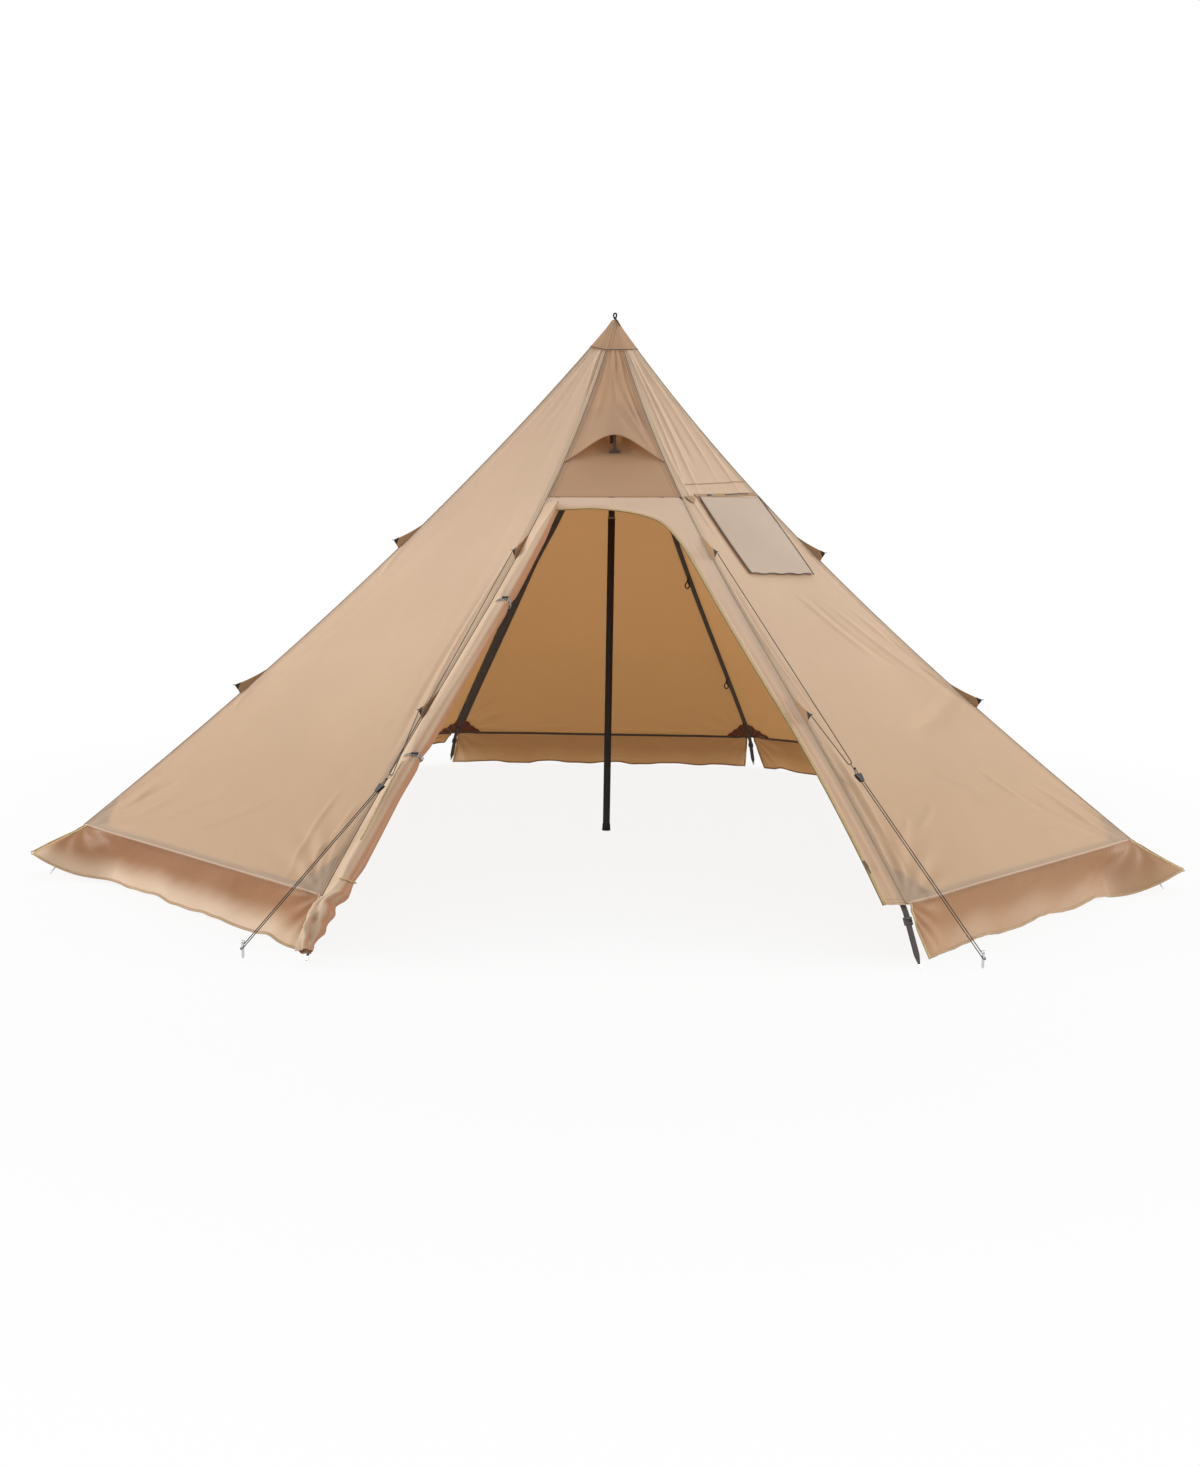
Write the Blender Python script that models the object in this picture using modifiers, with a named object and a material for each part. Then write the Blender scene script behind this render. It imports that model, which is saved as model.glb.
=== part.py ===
"""A hot tent: an eight-sided pyramid of cloth on one centre pole, with a hooded vent,
a stove jack, an arched door rolled to one side, ground skirts, corner straps and guylines.

The origin is the centre of the pole's foot on the ground. The door faces -Y and +Z is up.
"""

import math

import bmesh
import bpy
from mathutils import Matrix, Vector

# Driving dimensions, in metres
PEAK_HEIGHT = 2.2
HEM_HEIGHT = 0.178
FRONT_HALF_WIDTH = 0.87
FRONT_DEPTH = 1.875
SIDE_WIDTH = 1.957
SIDE_HALF_DEPTH = 0.898
RIDGE_SAGS = (0.11, 0.1, 0.098, 0.095, 0.093, 0.09, 0.08, 0.067)
CLOTH = 0.002
SEAM_GAP = 0.0004

# Sag of each ridge: how far its deepest point moves towards the peak
SAG_SKEW_SHARES = (1.7, 1.8, 0.4, 0.9, 1.4, 1.4, 1.0, 0.2)

# Webbing along the ridges
WEBBING_WIDTH = 0.025
WEBBING_THICKNESS = 0.0015
WEBBING_END_SHARES = (0.062, 0.992, 0.998)
WEBBING_GAP = 0.0022
WEBBING_DEPTH = 0.0084
FIN_THICKNESS = 0.0012
TAB_REACH = 0.036
TAB_START_SHARES = (0.41, 0.697)
TAB_LENGTH = 0.136
TAB_RETURN = 0.013

# Peak cap and loop
CAP_OFFSET = 0.0036
CAP_THICKNESS = 0.0015
CAP_SHARE = 0.056
PANEL_TOP_SHARE = 0.046
PANEL_STEPS = 20
CAP_TOP_RADIUS = 0.008
LOOP_RADIUS = 0.011
LOOP_THICKNESS = 0.0036

# Vent
HOOD_MIDDLE_SHARE = 0.24
HOOD_SIDE_SHARE = 0.27
HOOD_RISE = 0.075
HOOD_CLEARANCE = 0.0026
HOOD_START_SHARE = 0.11
HOOD_CLEAR_SHARE = 0.16
HOOD_BEYOND_SHARE = 0.03
VENT_TOP_SHARE = 0.17
VENT_SEAM_SHARE = 0.337
DOOR_FRAME_TOP_SHARE = 0.3385
SCREEN_THICKNESS = 0.0012
SCREEN_MARGIN_SHARES = (0.06, 0.015)
PROP_WIDTH = 0.012
PROP_THICKNESS = 0.004
PROP_FOOT_WIDTH = 0.046
PROP_FOOT_HEIGHT = 0.01
PROP_CLEARANCE = 0.0008
PROP_BASE_SHARE = 0.253
PROP_TOP_SHARE = 0.97

# Stove jack and its flap
JACK_THICKNESS = 0.0016
JACK_GAP = 0.0024
JACK_HOLE_RADIUS = 0.055
JACK_MARGIN = 0.03
FLAP_THICKNESS = 0.0025
FLAP_BULGE = 0.012

# Door
ROLL_HALF_WIDTH = 0.033
ROLL_HALF_THICKNESS = 0.028
ROLL_OFFSET = 0.052
ROLL_LIFT = 0.012
ROLL_SIDESTEP = 0.014
ROLL_END_FORWARD = 0.1
ROLL_END_ASIDE = 0.09
ROLL_END_SHARE = 1.8
ROLL_START_SHARES = (0.33, 0.38, 0.43)
ROLL_TIE_SHARES = (0.55, 0.813)
TIE_RADIUS = 0.0016
TIE_GAP = 0.001
BINDING_WIDTH = 0.009
BINDING_THICKNESS = 0.0024
SLIDER_LENGTH = 0.03
SLIDER_WIDTH = 0.012
SLIDER_THICKNESS = 0.005

# Skirts
SKIRT_DROP = 0.0018
SKIRT_FLARE = 0.026
SKIRT_BELLY = 0.014
SKIRT_SLANT = 0.07
SKIRT_END_GAP = 0.018
SKIRT_WAVE = 0.011
SKIRT_WAVE_LENGTH = 0.37
SKIRT_FLOOR_CLEARANCE = 0.001
SKIRT_CORNER_REACH = 0.19
SKIRT_CORNER_LIFT = 0.085
SKIRT_PULL_SHARE = 0.16
CORNER_REACH = 0.075
SIDE_CORNER_REACH = 0.12

# Pole
POLE_RADIUS = 0.0155
POLE_WALL = 0.0012
POLE_CLEARANCE = 0.0006
POLE_JOINT_HEIGHT = 1.365
POLE_OVERLAP = 0.3
POLE_RING_HEIGHT = 0.008
POLE_RING_RADIUS = 0.0175
POLE_PEAK_GAP = 0.004
POLE_TIP_LENGTH = 0.046
POLE_TIP_RADIUS = 0.004
POLE_TIP_HEIGHT = PEAK_HEIGHT - POLE_PEAK_GAP
POLE_TOP_HEIGHT = POLE_TIP_HEIGHT - POLE_TIP_LENGTH
FOOT_HEIGHT = 0.03
FOOT_RADIUS = 0.0185

# Corner straps and ladder-lock buckles
STRAP_WIDTH = 0.022
STRAP_RIB = 0.0002
STRAP_POINT_LENGTH = 0.045
STRAP_POINT_WIDTH = 0.004
STRAP_TOP_GAP = 0.012
STRAP_FLOOR_CLEARANCE = 0.004
BUCKLE_WALL = 0.003
BUCKLE_LENGTH = 0.024
BUCKLE_CLEARANCE = 0.0005
BUCKLE_DISTANCE = 0.02

# Guylines, their tensioners and pegs
LINE_RADIUS = 0.0015
LINE_GAP = 0.0004
LINE_OUTSET = -0.0012
LINE_STEP = 0.03
LINE_BEND = 0.0062
RING_RADIUS = 0.0085
RING_WIRE_RADIUS = 0.0012
RUNNER_LENGTH = 0.03
RUNNER_TOP_WIDTH = 0.03
RUNNER_BOTTOM_WIDTH = 0.017
RUNNER_THICKNESS = 0.009
RUNNER_DISTANCE = 0.035
LOOP_TAIL = 0.02
PEG_RADIUS = 0.0042
PEG_HEIGHT = 0.055
PEG_HEAD_RADIUS = 0.007
PEG_HEAD_HEIGHT = 0.006
PEG_FORWARD = 0.003
GUY_ALONG = 0.135
GUY_OUTWARD = 0.182
GUY_HEIGHT = 0.036
RING_SHARES = (0.603, 0.575)
RING_BACK = (0.191, 0.065)
RING_OUT = (0.054, 0.034)

CORNER_NAMES = (
    "front_left", "front_right", "right_front", "right_back",
    "back_right", "back_left", "left_back", "left_front",
)
CORNERS = (
    (-FRONT_HALF_WIDTH, -FRONT_DEPTH), (FRONT_HALF_WIDTH, -FRONT_DEPTH),
    (SIDE_WIDTH, -SIDE_HALF_DEPTH), (SIDE_WIDTH, SIDE_HALF_DEPTH),
    (FRONT_HALF_WIDTH, FRONT_DEPTH), (-FRONT_HALF_WIDTH, FRONT_DEPTH),
    (-SIDE_WIDTH, SIDE_HALF_DEPTH), (-SIDE_WIDTH, -SIDE_HALF_DEPTH),
)
PANEL_NAMES = ("front", "front_right", "right", "back_right", "back", "back_left", "left", "front_left")
FRONT, FRONT_RIGHT = 0, 1
FRONT_LEFT_RIDGE, FRONT_RIGHT_RIDGE = 0, 1
SIDE_CORNERS = ("right_front", "right_back", "left_back", "left_front")

# The door's arch as shares across and down the front, each with the place it is sewn to
DOOR_EDGE_SHARES = (
    ((0.0, 0.364), (0.0, 0.3395)), ((0.138, 0.361), (0.138, 0.3395)), ((0.344, 0.3585), (0.344, 0.3395)),
    ((0.493, 0.362), (0.5, 0.3395)), ((0.664, 0.37), (0.68, 0.3395)), ((0.795, 0.385), (0.86, 0.3395)),
    ((0.865, 0.416), (1.0, 0.346)), ((0.9, 0.465), (1.0, 0.44)), ((0.925, 0.556), (1.0, 0.545)),
    ((0.944, 0.657), (1.0, 0.65)), ((0.957, 0.742), (1.0, 0.742)), ((0.963, 0.822), (1.0, 0.822)),
    ((0.965, 0.91), (1.0, 0.91)), ((0.965, 1.0), (1.0, 1.0)),
)

# The flap's top and bottom edges as shares across the panel, at their shares down it
FLAP_TOP_SHARES = (0.207, 0.972, 0.3385)
FLAP_BOTTOM_SHARES = (0.242, 0.801, 0.487)
JACK_OPENING_SHARES = (0.34, 0.7, 0.375, 0.46)
VENT_OPENING_SHARES = (0.36, 0.64, 0.2, 0.246)


def material(name, colour, roughness, metallic=0.0):
    made = bpy.data.materials.new(name)
    made.use_nodes = True
    surface = made.node_tree.nodes["Principled BSDF"]
    surface.inputs["Base Color"].default_value = (*colour, 1.0)
    surface.inputs["Roughness"].default_value = roughness
    surface.inputs["Metallic"].default_value = metallic
    return made


def node(name, mesh, made_of):
    """One named object in the tent's collection."""
    thing = bpy.data.objects.new(name, mesh)
    mesh.materials.append(made_of)
    parts.objects.link(thing)
    return thing


def mesh_of(shape, name):
    mesh = bpy.data.meshes.new(name)
    shape.to_mesh(mesh)
    shape.free()
    return mesh


def sheet(name, point, across_shares, down_shares, thickness, made_of, is_hole=None):
    """A cloth panel: a grid whose corners come from point(across, down), thickened inwards."""
    shape = bmesh.new()
    grid = [[shape.verts.new(point(a, d)) for d in down_shares] for a in across_shares]
    for i in range(len(across_shares) - 1):
        for j in range(len(down_shares) - 1):
            if is_hole and is_hole(across_shares[i], across_shares[i + 1], down_shares[j], down_shares[j + 1]):
                continue
            shape.faces.new((grid[i][j], grid[i][j + 1], grid[i + 1][j + 1], grid[i + 1][j]))
    loose = [corner for corner in shape.verts if not corner.link_faces]
    bmesh.ops.delete(shape, geom=loose, context="VERTS")
    thing = node(name, mesh_of(shape, name), made_of)
    shell = thing.modifiers.new("thickness", "SOLIDIFY")
    shell.thickness = thickness
    shell.offset = -1.0
    shell.use_even_offset = True
    return thing


def loft(name, rings, made_of):
    """A closed solid through rings of equal point counts, with flat ends."""
    shape = bmesh.new()
    rows = [[shape.verts.new(p) for p in ring] for ring in rings]
    count = len(rows[0])
    for first, second in zip(rows, rows[1:]):
        for i in range(count):
            j = (i + 1) % count
            shape.faces.new((first[i], first[j], second[j], second[i]))
    shape.faces.new(rows[0])
    shape.faces.new(rows[-1])
    bmesh.ops.recalc_face_normals(shape, faces=shape.faces)
    if shape.calc_volume(signed=True) < 0:
        bmesh.ops.reverse_faces(shape, faces=shape.faces)
    return node(name, mesh_of(shape, name), made_of)


def tube(name, points, radius, made_of, cyclic=False):
    """A cord or wire: a curve with a round bevel and filled caps."""
    curve = bpy.data.curves.new(name, "CURVE")
    curve.dimensions = "3D"
    curve.bevel_depth = radius
    curve.bevel_resolution = 2
    curve.use_fill_caps = True
    line = curve.splines.new("POLY")
    line.points.add(len(points) - 1)
    for place, point in zip(line.points, points):
        place.co = (*point, 1.0)
    line.use_cyclic_u = cyclic
    return node(name, curve, made_of)


def turned(name, profile, made_of, sides=24):
    """A round piece about the Z axis, from its outline of radii and heights, top to bottom."""
    shape = bmesh.new()
    corners = [shape.verts.new((radius, 0.0, height)) for radius, height in profile]
    for first, second in zip(corners, corners[1:]):
        shape.edges.new((first, second))
    thing = node(name, mesh_of(shape, name), made_of)
    spin = thing.modifiers.new("turn", "SCREW")
    spin.steps = sides
    spin.render_steps = sides
    spin.use_merge_vertices = True
    spin.merge_threshold = 1e-5
    return thing


def extruded(name, outline, thickness, frame, made_of):
    """A flat outline made solid, half its thickness each side, placed by a matrix."""
    shape = bmesh.new()
    for side in (-0.5, 0.5):
        for x, y in outline:
            shape.verts.new(frame @ Vector((x, y, side * thickness)))
    shape.verts.ensure_lookup_table()
    count = len(outline)
    shape.faces.new([shape.verts[i] for i in reversed(range(count))])
    shape.faces.new([shape.verts[count + i] for i in range(count)])
    for i in range(count):
        j = (i + 1) % count
        shape.faces.new([shape.verts[k] for k in (i, j, count + j, count + i)])
    bmesh.ops.recalc_face_normals(shape, faces=shape.faces)
    return node(name, mesh_of(shape, name), made_of)


def shares(first, last, steps):
    return [first + (last - first) * i / steps for i in range(steps + 1)]


def smooth(low, high, value):
    """0 below low, 1 above high and a soft step between them."""
    x = min(max((value - low) / (high - low), 0.0), 1.0)
    return x * x * (3.0 - 2.0 * x)


def through(points, steps):
    """A smooth line through the points, with so many steps between each two."""
    ends = [2 * points[0] - points[1], *points, 2 * points[-1] - points[-2]]
    line = []
    for i in range(1, len(ends) - 2):
        a, b, c, d = ends[i - 1:i + 3]
        for step in range(steps):
            x = step / steps
            line.append(b + 0.5 * x * (c - a + x * (2 * a - 5 * b + 4 * c - d + x * (3 * (b - c) + d - a))))
    return [*line, points[-1]]


def corner(k):
    x, y = CORNERS[k % len(CORNERS)]
    return Vector((x, y, HEM_HEIGHT))


def outward(k):
    """The level direction from the pole to a corner."""
    return Vector((*CORNERS[k % len(CORNERS)], 0.0)).normalized()


def ridge_point(k, down, out=0.0):
    """A point on a ridge, at a share of the way from the peak, and so far out of the sagging line."""
    peak = Vector((0.0, 0.0, PEAK_HEIGHT))
    line = corner(k) - peak
    inward = outward(k).cross(line).cross(line).normalized()
    if inward.z > 0:
        inward = -inward
    depth, skew = RIDGE_SAGS[k % len(CORNERS)], SAG_SKEW_SHARES[k % len(CORNERS)]
    sag = 4 * depth * down * (1 - down) * (1 + skew * (0.5 - down))
    return peak + down * line + (sag - out) * inward


def ridge_frame(k, down, step=1e-3):
    """The ridge's direction down, its outward normal and the level direction across it."""
    along = (ridge_point(k, down + step) - ridge_point(k, down - step)).normalized()
    across = along.cross(outward(k)).normalized()
    return along, across.cross(along).normalized(), across


def band_frame(k, down):
    """The webbing lies evenly under the two panels: its normal, its width's direction and its depth."""
    along = ridge_frame(k, down)[0]
    sides = panel_normal(k - 1, down), panel_normal(k, down)
    normal = sides[0] + sides[1]
    normal = (normal - along * normal.dot(along)).normalized()
    tilt = max(normal.angle(side) for side in sides)
    depth = WEBBING_WIDTH / 2 * math.tan(tilt) + CLOTH / math.cos(tilt) + WEBBING_GAP
    return normal, along.cross(normal).normalized(), depth


def panel_point(k, across, down, lift=0.0, inset=FIN_THICKNESS / 2 + 4 * SEAM_GAP):
    """A point of a panel between two ridges, lifted off it along its outward normal."""
    first, last = ridge_point(k, down), ridge_point(k + 1, down)
    way = (last - first).normalized()
    width = (last - first).length - 2 * inset
    return first + way * (inset + across * width) + lift * panel_normal(k, down)


def panel_normal(k, down, step=1e-3):
    right = ridge_point(k + 1, down) - ridge_point(k, down)
    fall = (ridge_point(k, down + step) - ridge_point(k, down - step)
            + ridge_point(k + 1, down + step) - ridge_point(k + 1, down - step))
    return fall.cross(right).normalized()


def hem_normal(k):
    """The level direction out of a panel."""
    edge = corner(k + 1) - corner(k)
    return Vector((edge.y, -edge.x, 0.0)).normalized()


def stations(*extra):
    """The shares down a panel where its cloth has corners, with any extra ones in place of their nearest."""
    step = (1.0 - PANEL_TOP_SHARE) / PANEL_STEPS
    even = shares(PANEL_TOP_SHARE, 1.0, PANEL_STEPS)
    kept = [place for place in even if all(abs(place - other) > step / 2 for other in extra)]
    return sorted([*kept, *extra])


def side_panels():
    """The seven whole panels. The front right one has the stove jack's opening."""
    down = stations()
    across = shares(0.0, 1.0, 4)
    for k in range(1, 8):
        name = "panel_" + PANEL_NAMES[k]
        if k != FRONT_RIGHT:
            sheet(name, lambda a, d, k=k: panel_point(k, a, d), across, down, CLOTH, tent_cloth)
            continue
        left, right, top, bottom = JACK_OPENING_SHARES
        cut_across = [0.0, left / 2, left, (left + right) / 2, right, (right + 1.0) / 2, 1.0]
        cut_down = stations(top, bottom)
        middle_across, middle_down = (left + right) / 2, (top + bottom) / 2

        def is_hole(a, b, c, d):
            beside = abs((a + b) / 2 - middle_across) < (right - left) / 2
            return beside and abs((c + d) / 2 - middle_down) < (bottom - top) / 2

        sheet(name, lambda a, d: panel_point(FRONT_RIGHT, a, d), cut_across, cut_down, CLOTH, tent_cloth, is_hole)


def hood_edge(across):
    """How far down the hood reaches: an arch that is highest in the middle."""
    return HOOD_MIDDLE_SHARE + (HOOD_SIDE_SHARE - HOOD_MIDDLE_SHARE) * (2 * across - 1) ** 2


def hood_point(across, reach):
    """The hood stands off the front more and more towards its lower edge, most in the middle."""
    down = PANEL_TOP_SHARE + reach * (hood_edge(across) - PANEL_TOP_SHARE)
    clear = HOOD_CLEARANCE * smooth(HOOD_START_SHARE, HOOD_CLEAR_SHARE, down)
    arch = math.sin(math.pi * across) ** 2
    rise = HOOD_RISE * arch * smooth(HOOD_START_SHARE, hood_edge(across) + HOOD_BEYOND_SHARE, down)
    return panel_point(FRONT, across, down, clear + rise)


def vent():
    across = shares(0.0, 1.0, 12)
    sheet("vent_hood", hood_point, across, shares(0.0, 1.0, 10), CLOTH, tent_cloth)
    left, right, top, bottom = VENT_OPENING_SHARES
    cut_across = [0.0, left / 2, left, (left + right) / 2, right, (right + 1.0) / 2, 1.0]
    cut_down = [VENT_TOP_SHARE, top, bottom, *shares(bottom, VENT_SEAM_SHARE, 3)[1:]]

    def is_hole(a, b, c, d):
        return left < (a + b) / 2 < right and top < (c + d) / 2 < bottom

    sheet("vent_panel", lambda a, d: panel_point(FRONT, a, d), cut_across, cut_down, CLOTH, tent_cloth, is_hole)
    beside, above = SCREEN_MARGIN_SHARES
    sheet(
        "vent_screen", lambda a, d: panel_point(FRONT, a, d, -CLOTH - SEAM_GAP),
        shares(left - beside, right + beside, 4), shares(top - above, bottom + above, 2),
        SCREEN_THICKNESS, mesh_cloth,
    )
    vent_prop()


def vent_prop():
    """The black strut that holds the hood open. It hinges at its top and its foot stands on the panel."""
    normal = panel_normal(FRONT, PROP_BASE_SHARE)
    hinge = hood_point(0.5, PROP_TOP_SHARE) - normal * (CLOTH + PROP_THICKNESS / 2 + 2 * PROP_CLEARANCE)
    base = panel_point(FRONT, 0.5, PROP_BASE_SHARE)
    rising = hinge - base
    length = rising.length - 3 * PROP_CLEARANCE
    rising.normalize()
    side = Vector((1.0, 0.0, 0.0))
    side = (side - rising * side.dot(rising)).normalized()
    facing = side.cross(rising).normalized()
    half, foot = PROP_WIDTH / 2, PROP_FOOT_WIDTH / 2
    outline = [
        (-half, 0.0), (-half, PROP_FOOT_HEIGHT - length), (-foot, PROP_FOOT_HEIGHT - length), (-foot, -length),
        (foot, -length), (foot, PROP_FOOT_HEIGHT - length), (half, PROP_FOOT_HEIGHT - length), (half, 0.0),
    ]
    frame = Matrix((
        (side.x, rising.x, facing.x, hinge.x), (side.y, rising.y, facing.y, hinge.y),
        (side.z, rising.z, facing.z, hinge.z), (0.0, 0.0, 0.0, 1.0),
    ))
    extruded("vent_prop", outline, PROP_THICKNESS, frame, black_plastic)
    print("vent_prop hinge", tuple(round(v, 5) for v in hinge), "length", round(length, 5))


def door_line(steps=2):
    """The door's edge and the line that the frame panel is sewn along, as shares."""
    inner = through([Vector((*pair[0], 0.0)) for pair in DOOR_EDGE_SHARES], steps)
    outer = through([Vector((*pair[1], 0.0)) for pair in DOOR_EDGE_SHARES], steps)
    return inner, [Vector((min(p.x, 1.0), max(p.y, DOOR_FRAME_TOP_SHARE), 0.0)) for p in outer]


def door_frame():
    """The arched band over the door with the strip beside it, and the zip along its edge."""
    inner, outer = door_line()
    steps = len(inner) - 1

    def point(place, in_share):
        i = round(place * steps)
        spot = outer[i].lerp(inner[i], in_share)
        return panel_point(FRONT, spot.x, spot.y)

    places = shares(0.0, 1.0, steps)
    sheet("door_frame_panel", point, places, shares(0.0, 1.0, 3), CLOTH, tent_cloth)
    rings = []
    for i, spot in enumerate(inner):
        before, after = inner[max(i - 1, 0)], inner[min(i + 1, steps)]
        here = panel_point(FRONT, spot.x, spot.y)
        way = panel_point(FRONT, after.x, after.y) - panel_point(FRONT, before.x, before.y)
        normal = panel_normal(FRONT, spot.y)
        side = way.cross(normal).normalized()
        near = here + side * SEAM_GAP
        far = near + side * BINDING_WIDTH
        low, high = normal * -BINDING_THICKNESS, normal * 0.0
        rings.append([near + low, near + high, far + high, far + low])
    loft("door_zip_tape", rings, zip_tape)
    zip_slider(rings)


def zip_slider(rings):
    """The slider waits at the foot of the zip and lies on the tape."""
    top, bottom = rings[-3], rings[-2]
    start = (bottom[1] + bottom[2]) / 2
    along = ((top[1] + top[2]) / 2 - start).normalized()
    across = (bottom[2] - bottom[1]).normalized()
    normal = across.cross(along).normalized()
    if normal.y > 0:
        normal = -normal
    half, quarter = SLIDER_WIDTH / 2, SLIDER_WIDTH / 4
    outline = [(-half, 0.0), (half, 0.0), (half, SLIDER_LENGTH / 2), (quarter, SLIDER_LENGTH),
               (-quarter, SLIDER_LENGTH), (-half, SLIDER_LENGTH / 2)]
    spot = start + normal * (SLIDER_THICKNESS / 2 + SEAM_GAP)
    frame = Matrix((
        (across.x, along.x, normal.x, spot.x), (across.y, along.y, normal.y, spot.y),
        (across.z, along.z, normal.z, spot.z), (0.0, 0.0, 0.0, 1.0),
    ))
    extruded("door_zip_slider", outline, SLIDER_THICKNESS, frame, grey_metal)
    print("zip axis", tuple(round(v, 5) for v in along))


def roll_centre(down):
    """The middle of the rolled door, beside the front left ridge and on down to the ground."""
    low = min(down, 1.0)
    first, last = ridge_point(FRONT_LEFT_RIDGE, low), ridge_point(FRONT_RIGHT_RIDGE, low)
    way = (last - first).normalized()
    centre = first + way * ROLL_OFFSET + panel_normal(FRONT, low) * ROLL_LIFT
    centre += way * (ROLL_SIDESTEP * smooth(0.9, 1.0, down))
    if down > 1.0:
        share = (down - 1.0) / (ROLL_END_SHARE - 1.0)
        centre += hem_normal(FRONT) * (ROLL_END_FORWARD * share ** 0.8)
        centre -= way * (ROLL_END_ASIDE * smooth(0.0, 1.0, share))
        centre.z -= (down - 1.0) * HEM_HEIGHT
    return centre, way


def roll_ring(down, grow=0.0, sides=16):
    """A section of the roll: a folded oval, with the door's sewn edge reaching the ridge."""
    centre, way = roll_centre(down)
    normal = panel_normal(FRONT, min(down, 1.0))
    taper = smooth(ROLL_START_SHARES[0], ROLL_START_SHARES[2], down)
    swell = 1.0 + 0.1 * math.sin(26 * down)
    ring = []
    for i in range(sides):
        angle = math.radians(150) - math.radians(300) * i / (sides - 1)
        fold = 1.0 + 0.07 * math.sin(3 * angle + 9 * down)
        wide = (ROLL_HALF_WIDTH * taper * swell * fold + grow) * math.cos(angle)
        deep = (ROLL_HALF_THICKNESS * taper * swell * fold + grow) * math.sin(angle)
        ring.append(centre + way * wide + normal * deep)
    return ring


def door_roll():
    rings = []
    for down in [*shares(ROLL_START_SHARES[1], 1.0, 24), 1.02, 1.2, 1.4, 1.6, ROLL_END_SHARE]:
        centre, way = roll_centre(down)
        normal = panel_normal(FRONT, min(down, 1.0))
        low = min(down, 1.0)
        root = ridge_point(FRONT_LEFT_RIDGE, low) + way * (FIN_THICKNESS / 2 + 2 * SEAM_GAP)
        if down > 1.0:
            root = centre - way * ROLL_HALF_WIDTH * 0.95
        ring = roll_ring(down)
        ring.extend([root - normal * CLOTH, root])
        rings.append(ring)
    loft("door_roll", rings, tent_cloth)
    for name, down in zip(("upper", "lower"), ROLL_TIE_SHARES):
        ring = roll_ring(down, TIE_RADIUS + TIE_GAP)
        tube("door_tie_" + name, ring, TIE_RADIUS, elastic)


def stove_jack():
    """The heatproof patch behind the panel's opening, with its pipe hole, and the flap that covers it."""
    left, right, top, bottom = JACK_OPENING_SHARES
    middle = panel_point(FRONT_RIGHT, (left + right) / 2, (top + bottom) / 2)
    normal = panel_normal(FRONT_RIGHT, (top + bottom) / 2)
    first, last = ridge_point(1, (top + bottom) / 2), ridge_point(2, (top + bottom) / 2)
    right_way = (last - first).normalized()
    down_way = right_way.cross(normal).normalized()
    if down_way.z > 0:
        down_way = -down_way
    width = (right - left) * (last - first).length / 2 + JACK_MARGIN
    high = (panel_point(FRONT_RIGHT, left, bottom) - panel_point(FRONT_RIGHT, left, top)).length / 2 + JACK_MARGIN
    steps = 24
    depth = CLOTH + JACK_GAP
    shape = bmesh.new()
    rows = []
    for out_share, level in ((0.0, 0.0), (0.5, 0.0), (1.0, 0.0), (1.0, 1.0), (0.5, 1.0), (0.0, 1.0)):
        row = []
        for i in range(steps):
            angle = 2 * math.pi * i / steps
            across, along = math.cos(angle), math.sin(angle)
            square = 1 / max(abs(across), abs(along))
            far = Vector((across * square * width, along * square * high))
            near = Vector((across, along)) * JACK_HOLE_RADIUS
            flat = near.lerp(far, out_share)
            row.append(shape.verts.new(
                middle + right_way * flat.x + down_way * flat.y - normal * (depth + level * JACK_THICKNESS)
            ))
        rows.append(row)
    for first_row, second_row in zip(rows, [*rows[1:], rows[0]]):
        for i in range(steps):
            j = (i + 1) % steps
            shape.faces.new((first_row[i], first_row[j], second_row[j], second_row[i]))
    bmesh.ops.recalc_face_normals(shape, faces=shape.faces)
    node("stove_jack", mesh_of(shape, "stove_jack"), heat_cloth)

    def flap_point(across, down):
        at_top = FLAP_TOP_SHARES[0] + across * (FLAP_TOP_SHARES[1] - FLAP_TOP_SHARES[0])
        at_bottom = FLAP_BOTTOM_SHARES[0] + across * (FLAP_BOTTOM_SHARES[1] - FLAP_BOTTOM_SHARES[0])
        place = at_top + down * (at_bottom - at_top)
        depth_share = FLAP_TOP_SHARES[2] + down * (FLAP_BOTTOM_SHARES[2] - FLAP_TOP_SHARES[2])
        bulge = FLAP_BULGE * math.sin(math.pi * across) * math.sin(math.pi * down)
        return panel_point(FRONT_RIGHT, place, depth_share, FLAP_THICKNESS + 2 * SEAM_GAP + bulge)

    sheet("stove_flap", flap_point, shares(0.0, 1.0, 8), shares(0.0, 1.0, 8), FLAP_THICKNESS, flap_cloth)
    start, end = flap_point(0.0, 0.0), flap_point(1.0, 0.0)
    print("flap hinge", tuple(round(v, 5) for v in start), tuple(round(v, 5) for v in (start - end).normalized()))
    print("jack middle", tuple(round(v, 5) for v in middle), "normal", tuple(round(v, 5) for v in normal))


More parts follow.
